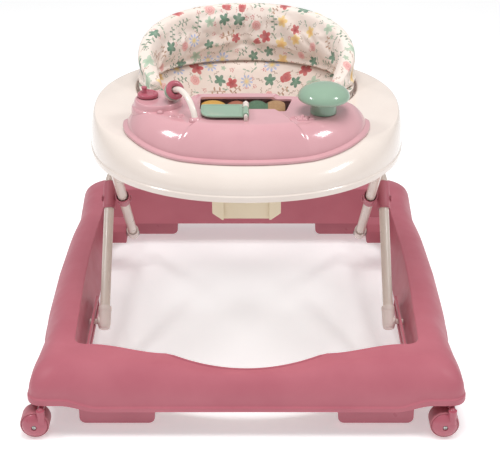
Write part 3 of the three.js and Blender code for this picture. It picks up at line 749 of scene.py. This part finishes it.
def slab(name, outline, low, high, edge):
    """A flat piece with rounded edges, from an anticlockwise plan outline."""
    before, after = np.roll(outline, 1, axis=0), np.roll(outline, -1, axis=0)
    run = after - before
    inward = np.column_stack([-run[:, 1], run[:, 0]]) / np.linalg.norm(run, axis=1)[:, None]
    turn = np.linspace(0, pi / 2, 4)
    levels = [(edge * (1 - sin(a)), low + edge * (1 - cos(a))) for a in turn]
    levels += [(inset, low + high - z) for inset, z in reversed(levels)]
    loops = [np.column_stack([outline + inset * inward, np.full(len(outline), z)]) for inset, z in levels]
    return loft(name, loops, crease=60)


def well_cutter():
    """The picture well: straight on the left, slanted on the right, with a little draft."""
    corners = [(-66, -132, 4), (56, -132, 4), (66, -84, 4), (-66, -84, 4)]
    outline = fillet(corners, 5, closed=True)
    middle = outline.mean(axis=0)
    loops = [np.column_stack([middle + (outline - middle) * grow, np.full(len(outline), z)])
             for grow, z in ((0.985, 393.2), (1.0, 408), (1.01, 420))]
    return loft("well", loops)


def make_toy_tray(tray):
    body = toy_body(tray)
    turret = fillet([(39, 380, 0), (38.4, 398.2, 0), (37.4, 401, 2), (35.6, 402.6, 1), (34, 408.4, 1.5),
                     (32.6, 411, 1.4), (30.6, 411, 0.5), (29.8, 410.2, 0.5), (0.4, 410.2, 0)], 4)
    merge(body, turned("turret", turret, (*TURRET, 0), steps=96))
    for x, y, radius, top in ((*ARCH.end, 8.2, 410.5), (*ARCH.foot, 7, 413), (-121, -139, 4.6, 407.6)):
        boss = [(radius * cos(a), top - radius * 0.7 + radius * 0.7 * sin(a)) for a in np.linspace(0, 1.5, 8)]
        merge(body, turned("boss", [(radius * 1.1, top - 22), *boss], (x, y, 0), steps=40))
    carve(body, well_cutter(), 24)
    body.name = body.data.name = "toy_tray_moulding"
    dress(body, TOY_PINK, "toy_tray", "toy_pink", "toy_tray")


def relief(name, centre, radius, base, height, steps=72, rows=26):
    """A low moulded relief on the deck: a disc whose height comes from a function of its own x and y."""
    angle = circle(steps)
    loops = []
    for t in (1.0, *np.linspace(1.0, 0.02, rows)):
        x, y = radius * t * np.cos(angle), radius * t * np.sin(angle)
        lift = height(x, y) if loops else np.full(steps, -2.0)
        loops.append(np.column_stack([centre[0] + x, centre[1] + y, base + lift]))
    return loft(name, loops, crease=50)


def bumps(x, y, centres, size, top):
    """Round bumps: the height of the tallest at each place."""
    lift = np.full(np.shape(x), -0.3)
    for cx, cy in centres:
        squared = 1 - ((x - cx) ** 2 + (y - cy) ** 2) / size**2
        lift = np.maximum(lift, -0.3 + top * np.sqrt(np.clip(squared, 0, 1)))
    return lift


def make_flower_relief():
    """A five-petalled flower with leaves on the right of the deck, and small fruit on the left."""
    around = [(5.6 * cos(a), 5.6 * sin(a)) for a in np.linspace(0.3, 2 * pi + 0.3, 5, endpoint=False)]

    def flower(x, y):
        petals = bumps(x, y, around, 4.6, 3.8)
        heart = bumps(x, y, [(0, 0)], 3.9, 6.4)
        leaves = bumps(x, y * 1.9, [(-13, 6), (13, -6), (12, 11)], 4.8, 3.2)
        return np.maximum(np.maximum(petals, heart), leaves)

    piece = relief("flower_relief", (78, -160), 18.5, TOY.side_top, flower, 110, 34)
    dress(piece, TOY_PINK, "toy_tray", "toy_pink")

    def fruit(x, y):
        ovals = bumps(x * 0.7, y * 1.5, [(-4.6, 2.5), (3.0, -4.2), (4.4, 6.0)], 3.2, 2.6)
        return np.maximum(ovals, bumps(x, y, [(-9, -4), (1, 1.4), (9.6, 1)], 1.7, 1.3))

    piece = relief("fruit_relief", (-97, -152), 12.5, TOY.side_top, fruit, 90, 26)
    dress(piece, TOY_PINK, "toy_tray", "toy_pink")


def make_card():
    """The picture card: a row of soft mounds, each in its own colour."""
    x = np.linspace(-64.2, 55, 116)
    y = np.linspace(-130.4, -85.6, 44)
    mounds = [(-48, -106, 22, 26, 10.2), (-14, -106, 17, 25, 9.4), (15, -107, 17, 25, 10.8),
              (42, -106, 18, 26, 10.0)]
    points = []
    for yy in y:
        for xx in x:
            lift = max(h * sqrt(max(0, 1 - ((xx - cx) / a) ** 2 - ((yy - cy) / b) ** 2))
                       for cx, cy, a, b, h in mounds)
            points.append((xx, yy, 396 + lift))
    columns, rows = len(x), len(y)
    faces = [(r * columns + c, r * columns + c + 1, (r + 1) * columns + c + 1, (r + 1) * columns + c)
             for r in range(rows - 1) for c in range(columns - 1)]
    rim = [*range(columns)] + [r * columns + columns - 1 for r in range(1, rows)]
    rim += [(rows - 1) * columns + c for c in range(columns - 2, -1, -1)]
    rim += [r * columns for r in range(rows - 2, 0, -1)]
    start = len(points)
    points += [(points[k][0], points[k][1], 393.6) for k in rim]
    faces += [(rim[k], rim[(k + 1) % len(rim)], start + (k + 1) % len(rim), start + k)
              for k in range(len(rim))]
    faces.append(tuple(range(start, len(points))))
    card = add_object("picture_card_relief", points, faces, 60)
    dress(card, picture_print(), "toy_tray", "card", "picture_card")


def picture_print():
    """Four printed colours along the card, with a woven mesh over the last."""
    paint = Paint("picture_print", IOR=1.45)
    split = paint.node("ShaderNodeSeparateXYZ")
    paint.set(split, 0, paint.place)
    x, y = split.outputs[0], split.outputs[1]
    colour = paint.mix(paint.noise(5, 3), linear(222, 178, 88), linear(205, 148, 72))
    for edge, first, second in ((-0.030, (156, 84, 70), (186, 120, 92)), (0.0, (66, 104, 84), (92, 130, 104)),
                                (0.0305, (190, 152, 112), (160, 122, 88))):
        step = paint.span(x, edge - 0.0004, edge + 0.0004)
        colour = paint.mix(step, colour, paint.mix(paint.noise(4, 3), linear(*first), linear(*second)))
    lines = paint.times(paint.sine(paint.times(paint.plus(x, y), 1900.0)),
                       paint.sine(paint.times(paint.minus(x, y), 1900.0)))
    net = paint.times(paint.span(lines, 0.1, 0.4), 0.4)
    paint.use("Base Color", paint.mix(net, colour, linear(120, 86, 62)))
    paint.use("Roughness", paint.span(paint.noise(6, 2), 0.3, 0.7, 0.5, 0.7))
    return paint.use("Normal", paint.bump(lines, 0.25)).material


def make_flip_book():
    x, z, front, rear = BINDER.x, BINDER.z, BINDER.front, BINDER.rear
    outline = fillet([(-64, rear - 3, 7), (-64, front + 3, 22), (x - 3.4, front + 3, 0.6),
                      (x - 3.4, rear - 3, 0.6)], 10, closed=True)
    leaf = slab("leaf", outline, 410.3, 413.5, 1.1)
    window = fillet([(-60, rear - 7, 5), (-60, front + 7, 18), (x - 9, front + 7, 2), (x - 9, rear - 7, 2)],
                    8, closed=True)
    carve(leaf, slab("panel", window, 413.0, 415, 0.3), 40)
    knuckle = fillet([(2.6, front + 3.2, 0), (4.4, front + 3.2, 0.8), (4.4, front + 15, 0.8),
                      (3.9, front + 15.6, 0.3), (4.4, front + 16.2, 0.8), (4.4, front + 30, 0.8),
                      (2.6, front + 30, 0)], 3)
    barrel = turned("barrel", [(r, y) for r, y in knuckle], (x, 0, z), (0, 1, 0), 48, closed=True)
    dress(joined("flip_leaf", [leaf, barrel]), GREEN, "page", "toy_green", "flip_page")
    bar = turned("bar", [(2.2, front - 2), (2.2, rear + 2)], (x, 0, z), (0, 1, 0), 32)
    parts = [bar]
    for y in (rear - 6, rear - 15):
        bead = [(4.6 * cos(a) * 0.98, y + 4.0 * sin(a)) for a in np.linspace(-1.1, 1.1, 14)]
        parts.append(turned("bead", bead, (x, 0, z), (0, 1, 0), 48))
    for y in (front, rear):
        parts.append(rounded_box("post", (x - 2.6, y - 1.8, 406.4), (x + 2.6, y + 1.8, 415.6), 1.2))
    dress(joined("binder_bar", parts), WHITE, "toy_tray", "cap_white", "page_binder")


def make_dial():
    disc = fillet([(0.4, 411.5, 0), (15, 411.5, 0.6), (15, 415.4, 1.2), (12.6, 417, 1.2), (9.8, 416.2, 1),
                   (0.4, 416, 0)], 4)
    peg = fillet([(4.4, 415, 0), (3.5, 417.6, 0.8), (3.4, 422, 0.5), (4.2, 423.6, 1), (3.9, 425.6, 1),
                  (0.4, 426, 0)], 4)
    parts = [turned("disc", disc, (*DIAL, 0), steps=72),
             turned("peg", peg, (DIAL[0] - 5, DIAL[1], 0), steps=32)]
    for k in range(6):
        angle = k * pi / 3 + 0.5
        x, y = DIAL[0] + 10.4 * cos(angle), DIAL[1] + 10.4 * sin(angle)
        dot = [(1.3 * cos(a), 416.5 + 0.8 * sin(a)) for a in np.linspace(0, 1.4, 5)]
        parts.append(turned("dot", [(1.3, 415.6), *dot], (x, y, 0), steps=16))
    dress(joined("dial_disc", parts), ROSE, "dial", "rose_plastic", "toy_dial")


def on_arch(angle):
    """A point on the arch, by its angle from the top, and the arch's direction there."""
    foot, end = np.array(ARCH.foot, float), np.array(ARCH.end, float)
    run = (end - foot) / np.linalg.norm(end - foot)
    middle = (foot + end) / 2 + run * ARCH.radius * sin(angle)
    height = TOY.deck_top + ARCH.rise - ARCH.radius + ARCH.radius * cos(angle)
    return np.array((*middle, height)), np.array((*(run * cos(angle)), -sin(angle)))


def make_arch_and_rings():
    span = hypot(ARCH.end[0] - ARCH.foot[0], ARCH.end[1] - ARCH.foot[1]) / 2
    half = asin(span / ARCH.radius)
    path = [on_arch(a)[0] for a in np.linspace(-half, half, 40)]
    arch = sweep("arch_bar", path, ARCH.tube, 28)
    dress(arch, CREAM, "toy_tray", "tray_cream", "bead_arch")
    for colour, degrees, middle, thick, paint, slot in (("pink", -29, 9.6, 4.2, ROSE, "rose_plastic"),
                                                        ("green", -39, 9.2, 3.9, GREEN, "toy_green"),
                                                        ("cream", -49, 8.4, 3.3, WHITE, "tray_cream")):
        point, direction = on_arch(radians(degrees))
        turn = circle(28)
        profile = [(middle + thick * cos(a), 3.3 * sin(a)) for a in turn]
        torus = turned(f"ring_{colour}", profile, point, direction, 64, closed=True)
        dress(torus, paint, f"ring_{colour}", slot, f"bead_ring_{colour}")


def make_mushroom():
    stem = fillet([(0.4, 404, 0), (18.6, 404, 0.4), (18.4, 410, 1), (18, 421.2, 0.6), (5, 421.2, 0.3),
                   (5, 436.5, 0), (0.4, 436.8, 0)], 4)
    dress(turned("mushroom_stem", stem, (*MUSHROOM, 0), steps=72), GREEN, "toy_tray", "toy_green",
          "mushroom_post")
    dome = [(36.6 * cos(a) ** 0.9, 427.6 + 18.6 * sin(a) ** 1.08) for a in np.linspace(0.02, 1.5, 26)]
    under = fillet([(6, 422.4, 0), (29, 422.4, 3), (35.4, 424.6, 2.4), (36.6, 427.6, 0)], 5)
    profile = [(5.4, 438), (5.4, 422.8), *under, *dome, (0.4, 446.3), (0.4, 438.2)]
    cap = turned("mushroom_dome", profile, (*MUSHROOM, 0), steps=96, closed=True, crease=40)
    dress(cap, GREEN, "mushroom", "toy_green", "mushroom_cap")


# ---------- printed fabric ----------
def floral_fabric():
    """Cream cloth with scattered flowers, ivy, leaves and twigs, woven finely and softly creased."""
    paint = Paint("printed_fabric", Sheen_Weight=0.25, Sheen_Roughness=0.6, IOR=1.4)
    cloth = paint.node("ShaderNodeUVMap", uv_map="cloth").outputs["UV"]
    ground = paint.mix(paint.span(paint.noise(60, 2), 0.3, 0.7), linear(243, 230, 221), linear(239, 223, 212))
    wash = paint.span(paint.noise(7, 3), 0.3, 0.7, 0.78, 1.0)
    colour = ground

    def draw(cell, motifs, strength, under):
        for low, high, shape, size, tint, accent in motifs:
            mask = paint.times(shape(cell, size), in_bin(cell, low, high))
            shade = paint.mix(paint.span(cell.radius, 1.0, 7.0), linear(*accent), linear(*tint))
            under = paint.mix(paint.times(mask, strength), under, shade)
        return under

    small = scatter(paint, cloth, 14.5, 0.31)
    colour = draw(small, SMALL_MOTIFS, paint.times(wash, 0.85), colour)
    large = scatter(paint, cloth, 28.5, 0.0)
    cleared = paint.span(large.radius, 7.4, 8.4)
    colour = paint.mix(cleared, ground, colour)
    stem = ellipse(large, (1.2, -7.5), (0.45, 6.0), 1.0)
    colour = paint.mix(paint.times(stem, 0.7), colour, linear(150, 146, 118))
    colour = draw(large, LARGE_MOTIFS, wash, colour)
    paint.use("Base Color", colour)
    paint.use("Roughness", paint.span(paint.noise(8, 2), 0.3, 0.7, 0.78, 0.92))
    split = paint.node("ShaderNodeSeparateXYZ")
    paint.set(split, 0, cloth)
    threads = 2 * pi / (0.7 * MM)
    weave = paint.times(paint.sine(paint.times(split.outputs[0], threads)),
                       paint.sine(paint.times(split.outputs[1], threads)))
    normal = paint.bump(weave, 0.05)
    normal = paint.bump(paint.noise(16, 3), 1.3, normal)
    return paint.use("Normal", normal).material


def scatter(paint, cloth, spacing, shift):
    """Splits the cloth into cells, each with its own place, turn and kind; distances are in millimetres."""
    moved = paint.vector("ADD", cloth, (shift, shift, 0))
    cells = paint.node("ShaderNodeTexVoronoi", voronoi_dimensions="2D")
    paint.set(cells, "Vector", moved)
    paint.set(cells, "Scale", 1 / (spacing * MM))
    paint.set(cells, "Randomness", 0.68)
    parts = paint.node("ShaderNodeSeparateXYZ")
    paint.set(parts, 0, cells.outputs["Color"])
    apart = paint.vector("SUBTRACT", moved, cells.outputs["Position"])
    offset = paint.vector("SCALE", apart, paint.span(parts.outputs[2], 0, 1, 0.98 / MM, 0.72 / MM))
    spin = paint.node("ShaderNodeVectorRotate", rotation_type="Z_AXIS")
    paint.set(spin, "Vector", offset)
    paint.set(spin, "Angle", paint.times(parts.outputs[1], 2 * pi))
    place = paint.node("ShaderNodeSeparateXYZ")
    paint.set(place, 0, spin.outputs[0])
    x, y = place.outputs[0], place.outputs[1]
    return Sizes(paint=paint, x=x, y=y, kind=parts.outputs[0],
                 radius=paint.vector("LENGTH", spin.outputs[0], output="Value"),
                 angle=paint.math("ARCTAN2", y, x))


def in_bin(cell, low, high):
    """1 in the cells whose kind is between two numbers."""
    paint = cell.paint
    return paint.times(paint.math("GREATER_THAN", cell.kind, low), paint.math("LESS_THAN", cell.kind, high))


def lobes(cell, count, size, low, power):
    """1 inside a round outline with the given count of lobes, with a soft edge."""
    paint = cell.paint
    wave = paint.math("ABSOLUTE", paint.math("COSINE", paint.times(cell.angle, count / 2)))
    outline = paint.times(paint.plus(paint.times(paint.math("POWER", wave, power), 1 - low), low), size)
    return paint.span(paint.minus(outline, cell.radius), -EDGE_BLUR, EDGE_BLUR)


def ellipse(cell, centre, half, size):
    paint = cell.paint
    x = paint.math("DIVIDE", paint.minus(cell.x, centre[0] * size), half[0] * size)
    y = paint.math("DIVIDE", paint.minus(cell.y, centre[1] * size), half[1] * size)
    return paint.span(paint.plus(paint.times(x, x), paint.times(y, y)), 1.12, 0.88)


def petals(count, reach, low, power=1.0):
    """A motif with lobes all round: their count, their reach, and how far in they start."""
    return lambda cell, size: lobes(cell, count, reach * size, low, power)


def drawn(*ovals):
    """A motif made of ovals, each a centre and its two half widths."""

    def motif(cell, size):
        masks = [ellipse(cell, centre, half, size) for centre, half in ovals]
        total = masks[0]
        for mask in masks[1:]:
            total = cell.paint.math("MAXIMUM", total, mask)
        return total

    return motif


def rose(cell, size):
    """A round flower with petals that wind outwards."""
    paint = cell.paint
    winding = paint.sine(paint.plus(paint.times(cell.radius, 2.3), cell.angle))
    return paint.times(lobes(cell, 7, 8.0 * size, 0.86, 1.0), paint.span(winding, -0.9, -0.4, 0.45, 1.0))


EDGE_BLUR = 0.35
blossom, daisy, ivy = petals(5, 9.0, 0.55), petals(9, 9.2, 0.3), petals(5, 8.6, 0.5, 1.2)
tulip = drawn(((0, 2), (3.0, 5.6)), ((-3.6, 3), (2.0, 5.0)), ((3.6, 3), (2.0, 5.0)), ((0, -3), (4.4, 2.6)))
leaf_pair = drawn(((-5, 2), (4.6, 1.9)), ((5, 1), (4.4, 1.8)), ((0, -3), (0.5, 5)))
twig = drawn(((0, 0), (11, 0.5)),
             *((spot, (1.9, 0.9)) for spot in ((-7, 1.6), (-3, -1.8), (1, 1.7), (5, -1.6), (9, 1.2))))
sprig = drawn(((0, -1), (0.45, 6)),
              *((spot, (1.5, 1.5)) for spot in ((-4, 4), (0, 6.4), (4, 4.4), (-2, 0.5), (2.6, 0.2))))
branch = drawn(((0, -0.5), (0.4, 9)), ((0, 9), (1.1, 1.8)),
               *((spot, (2.3, 1.1)) for spot in ((2.7, -6.5), (-2.7, -3.2), (2.7, 0.2), (-2.7, 3.6),
                                                 (2.7, 6.6))))
# Each motif's share of the cells, its shape and size, and its colours outside and in the middle.
SMALL_MOTIFS = (
    (0.0, 0.26, twig, 0.52, (172, 142, 120), (158, 126, 106)),
    (0.26, 0.5, leaf_pair, 0.6, (152, 176, 150), (128, 156, 132)),
    (0.5, 0.64, sprig, 0.62, (216, 132, 126), (198, 104, 104)),
    (0.64, 0.76, sprig, 0.6, (138, 158, 140), (116, 140, 122)),
    (0.76, 0.86, ivy, 0.42, (186, 205, 182), (160, 186, 160)),
)
LARGE_MOTIFS = (
    (0.0, 0.07, blossom, 0.9, (205, 98, 98), (166, 60, 66)),
    (0.07, 0.17, blossom, 0.9, (243, 215, 148), (232, 178, 96)),
    (0.17, 0.27, daisy, 1.0, (172, 188, 226), (236, 206, 130)),
    (0.27, 0.46, ivy, 1.0, (84, 128, 106), (104, 148, 124)),
    (0.46, 0.57, ivy, 1.05, (186, 206, 184), (160, 186, 160)),
    (0.57, 0.63, rose, 0.9, (238, 178, 172), (218, 130, 132)),
    (0.63, 0.71, tulip, 1.0, (208, 106, 104), (186, 76, 82)),
    (0.71, 0.87, branch, 1.0, (112, 146, 122), (96, 128, 106)),
    (0.87, 1.01, branch, 1.05, (190, 152, 124), (166, 128, 104)),
)


# ---------- seat ----------
def unwrap(obj, rows, columns, across, down):
    """Lays the cloth flat: each vertex's length along and across it, in metres, as its texture place."""
    layer = obj.data.uv_layers.new(name="cloth")
    for face in obj.data.polygons:
        spots = [divmod(obj.data.loops[k].vertex_index, columns) for k in face.loop_indices]
        wraps = max(c for _, c in spots) - min(c for _, c in spots) > columns / 2
        for k, (row, column) in zip(face.loop_indices, spots):
            row = min(row, rows - 1)
            once_round = down[row][-1] if wraps and column < columns / 2 else 0
            layer.data[k].uv = (across[row], down[row][column] + once_round)


def lay_flat(obj, height):
    """The faces below a height are a flat panel of their own, printed as seen from above."""
    places = obj.data.uv_layers["cloth"].data
    for face in obj.data.polygons:
        if face.center.z < height * MM:
            for k in face.loop_indices:
                places[k].uv = obj.data.vertices[obj.data.loops[k].vertex_index].co.xy


def make_backrest(fabric):
    """The padded back: a stuffed wall that wraps round the seat, lower towards its ends."""
    count, columns = 170, 60
    angles = np.radians(np.linspace(-BACK.end_angle, BACK.end_angle, count))
    loops, down = [], []
    for angle in angles:
        share = angle / radians(BACK.end_angle)
        height = BACK.top - BACK.drop * abs(share) ** BACK.drop_power - BACK.bottom
        taper = 1 - 0.25 * abs(share) ** 8
        half, middle = BACK.thickness / 2 * taper, BACK.thickness / 2
        cap = min(half, 0.5 * height)
        corners = [(middle - half, 1.5, 4), (middle + half, 1.5, 4), (middle + half, height - cap, cap * 0.9),
                   (middle + half * 0.7, height, cap * 0.5), (middle - half * 0.7, height, cap * 0.5),
                   (middle - half, height - cap, cap * 0.9)]
        rim = resample(fillet(corners, 6, closed=True), columns)
        x = (BACK.half_width - rim[:, 0]) * sin(angle)
        y = BACK.centre_y + (BACK.half_length - rim[:, 0]) * cos(angle)
        loops.append(np.column_stack([x, y, BACK.bottom + rim[:, 1]]))
        down.append(travelled(np.vstack([rim, rim[:1]])) * MM)
    pad = loft("backrest_pad", loops, crease=70)
    arc = travelled([row[0] for row in loops]) * MM
    unwrap(pad, count, columns, arc, down)
    bottom = [k for k, vertex in enumerate(pad.data.vertices) if vertex.co.z < (BACK.bottom + 3.5) * MM]
    puff(pad, bottom, 3.0, 6.0)
    dress(pad, fabric, "tray", "seat_fabric", "seat_backrest")


def resample(outline, count):
    """The same closed outline with evenly spaced points, starting from its first one."""
    closed = np.vstack([outline, outline[:1]])
    length = travelled(closed)
    wanted = np.linspace(0, length[-1], count, endpoint=False)
    return np.column_stack([np.interp(wanted, length, closed[:, k]) for k in (0, 1)])


STUFFING_SLACK = 0.04
STUFFING_FRAMES = 20


def puff(obj, pinned, pressure, limit):
    """Blows a stuffed piece up by cloth simulation; no point moves further than the limit in millimetres."""
    start = np.array([vertex.co for vertex in obj.data.vertices])
    group = obj.vertex_groups.new(name="seam")
    group.add(pinned, 1.0, "REPLACE")
    cloth = obj.modifiers.new("cloth", "CLOTH")
    choices = dict(quality=6, mass=0.25, tension_stiffness=18, compression_stiffness=18,
                   bending_stiffness=0.4, shrink_min=-STUFFING_SLACK, use_pressure=True,
                   uniform_pressure_force=pressure, vertex_group_mass="seam")
    for setting, value in choices.items():
        setattr(cloth.settings, setting, value)
    cloth.settings.effector_weights.gravity = 0
    cloth.collision_settings.use_collision = False
    cloth.point_cache.frame_start = 1
    cloth.point_cache.frame_end = STUFFING_FRAMES
    for step in range(1, STUFFING_FRAMES + 1):
        bpy.context.scene.frame_set(step)
    apply_modifiers(obj)
    bpy.context.scene.frame_set(1)
    end = np.array([vertex.co for vertex in obj.data.vertices])
    move = end - start
    length = np.linalg.norm(move, axis=1)[:, None]
    most = limit * MM
    move *= np.where(length > 0, most * np.tanh(length / most) / np.maximum(length, 1e-9), 0)
    obj.data.vertices.foreach_set("co", (start + move).ravel())
    obj.vertex_groups.clear()
    smooth = obj.modifiers.new("smooth", "SUBSURF")
    smooth.levels = smooth.render_levels = 1
    apply_modifiers(obj)
    finish_mesh(obj, 180)


def make_sling(fabric):
    """The hanging seat: a bucket with two leg holes, its hem turned over the seat opening's edge."""
    steps = 128
    angle = circle(steps)
    lift = smoothstep(np.sin(angle), -0.75, -0.35)
    shape = [(0.0, 201), (0.12, 201), (0.25, 202.5), (0.36, 207), (0.45, 217), (0.53, 234), (0.59, 256),
             (0.64, 278), (0.68, 300), (0.725, 322), (0.79, 340), (0.86, 354), (0.895, 366)]
    inside = [(SLING.half_width * r, SLING.half_length * r, z) for r, z in shape[1:]]
    outside = [(SLING.half_width * (r + 0.045), SLING.half_length * (r + 0.05), z - SLING.cloth)
               for r, z in shape[1:-1]]
    front_edge = [(148, 92.5, 369), (153, 95, 370)] + [(155.5, 96.6, 368.4)] * 6
    rim_high = [(148.5, 91.5, 380), (154, 96, 382.4), (160, 101.5, 380.6), (168, 108.5, 379.2),
                (168.4, 108.8, 378.6), (162, 102.4, 378.4), (157.4, 98.4, 377.4), (155.6, 96.8, 369)]
    rim_low = [(a + 0.1 * k, b + 0.1 * k, z - 0.3 * k) for k, (a, b, z) in enumerate(front_edge)]

    def loop(size_a, size_b, height):
        radius = reach(angle, size_a, size_b, SLING.power)
        return np.column_stack([radius * np.cos(angle), TRAY.seat_y + radius * np.sin(angle),
                                np.broadcast_to(height, angle.shape)])

    loops = [loop(*entry) for entry in inside]
    for low, high in zip(rim_low, rim_high):
        loops.append(loop(*(lerp(low[k], high[k], lift) for k in range(3))))
    loops += [loop(*entry) for entry in reversed(outside)]
    loops = smooth_rows(loops, 3)
    sling = loft("seat_sling_cloth", loops, crease=70)
    rows = len(loops)
    widest = loops[len(inside) - 1]
    run = travelled(np.vstack([widest, widest[:1]])) * MM
    level = travelled([row[steps // 4] for row in loops]) * MM
    unwrap(sling, rows, steps, level + 0.4, [run] * rows)
    lay_flat(sling, 224)
    for _, sign in SIDES:
        hole = [(SLING.leg_hole, 150), (SLING.leg_hole, 262)]
        carve(sling, turned("hole", hole, (sign * SLING.leg_hole_x, 38, 0), steps=56), 70)
    dress(sling, fabric, "tray", "seat_fabric", "seat_sling")


def smooth_rows(loops, times):
    """Softens a lofted piece along its rows."""
    rows = np.array(loops)
    for _ in range(times):
        rows[1:-1] = (rows[:-2] + 2 * rows[1:-1] + rows[2:]) / 4
    return list(rows)


# ---------- stage ----------
FLOOR_REACH = 9000
VIEW_DOWN = 26.03


def make_stage():
    """A pale floor, two small softboxes, a large key light that shows in no reflection, and the camera."""
    scene = bpy.context.scene
    scene.view_settings.view_transform = "Standard"
    corners = [(x * FLOOR_REACH, y * FLOOR_REACH, 0) for x, y in ((-1, -1), (1, -1), (1, 1), (-1, 1))]
    floor = add_object("floor", corners, [(0, 1, 2, 3)])
    paint = Paint("pale_floor", Roughness=0.9)
    paint.use("Base Color", paint.mix(paint.noise(300, 2), linear(246, 246, 246), linear(243, 243, 244)))
    paint.shader.inputs["Emission Color"].default_value = (1, 1, 1, 1)
    paint.shader.inputs["Emission Strength"].default_value = 0.36
    floor.data.materials.append(paint.material)

    scene.world = bpy.data.worlds.new("studio")
    scene.world.use_nodes = True
    sky = scene.world.node_tree.nodes["Background"]
    sky.inputs["Color"].default_value = (1, 1, 1, 1)
    sky.inputs["Strength"].default_value = 0.45

    def softbox(name, place, target, size, power):
        light = bpy.data.lights.new(name, "AREA")
        light.shape = "RECTANGLE"
        light.size, light.size_y = size
        light.energy = power
        lamp = bpy.data.objects.new(name, light)
        lamp.location = place
        lamp.rotation_euler = (Vector(target) - Vector(place)).to_track_quat("-Z", "Y").to_euler()
        scene.collection.objects.link(lamp)
        return lamp

    for side, sign in SIDES:
        softbox(f"softbox_{side}", (sign * 1.25, -0.45, 1.75), (0, -0.1, 0.3), (0.38, 0.28), 6.6)
    key = softbox("key", (0.03, -0.4, 2.6), (0, 0, 0.2), (1.2, 1.2), 32.5)
    key.visible_glossy = False

    camera = bpy.data.cameras.new("camera")
    camera.sensor_width = 36
    camera.lens = 99.23
    camera.shift_x = 0.007
    view = bpy.data.objects.new("camera", camera)
    view.location = (0, -1.945, 1.1086)
    view.rotation_euler = (radians(90 - VIEW_DOWN), 0, 0)
    scene.collection.objects.link(view)
    scene.camera = view


make_stage()
make_base()
for corner in CORNERS:
    make_caster(*corner)
make_legs()
tray_ring = make_tray()

make_toy_tray(tray_ring)
make_flower_relief()
make_card()
make_flip_book()
make_dial()
make_arch_and_rings()
make_mushroom()
cloth = floral_fabric()
make_backrest(cloth)
make_sling(cloth)
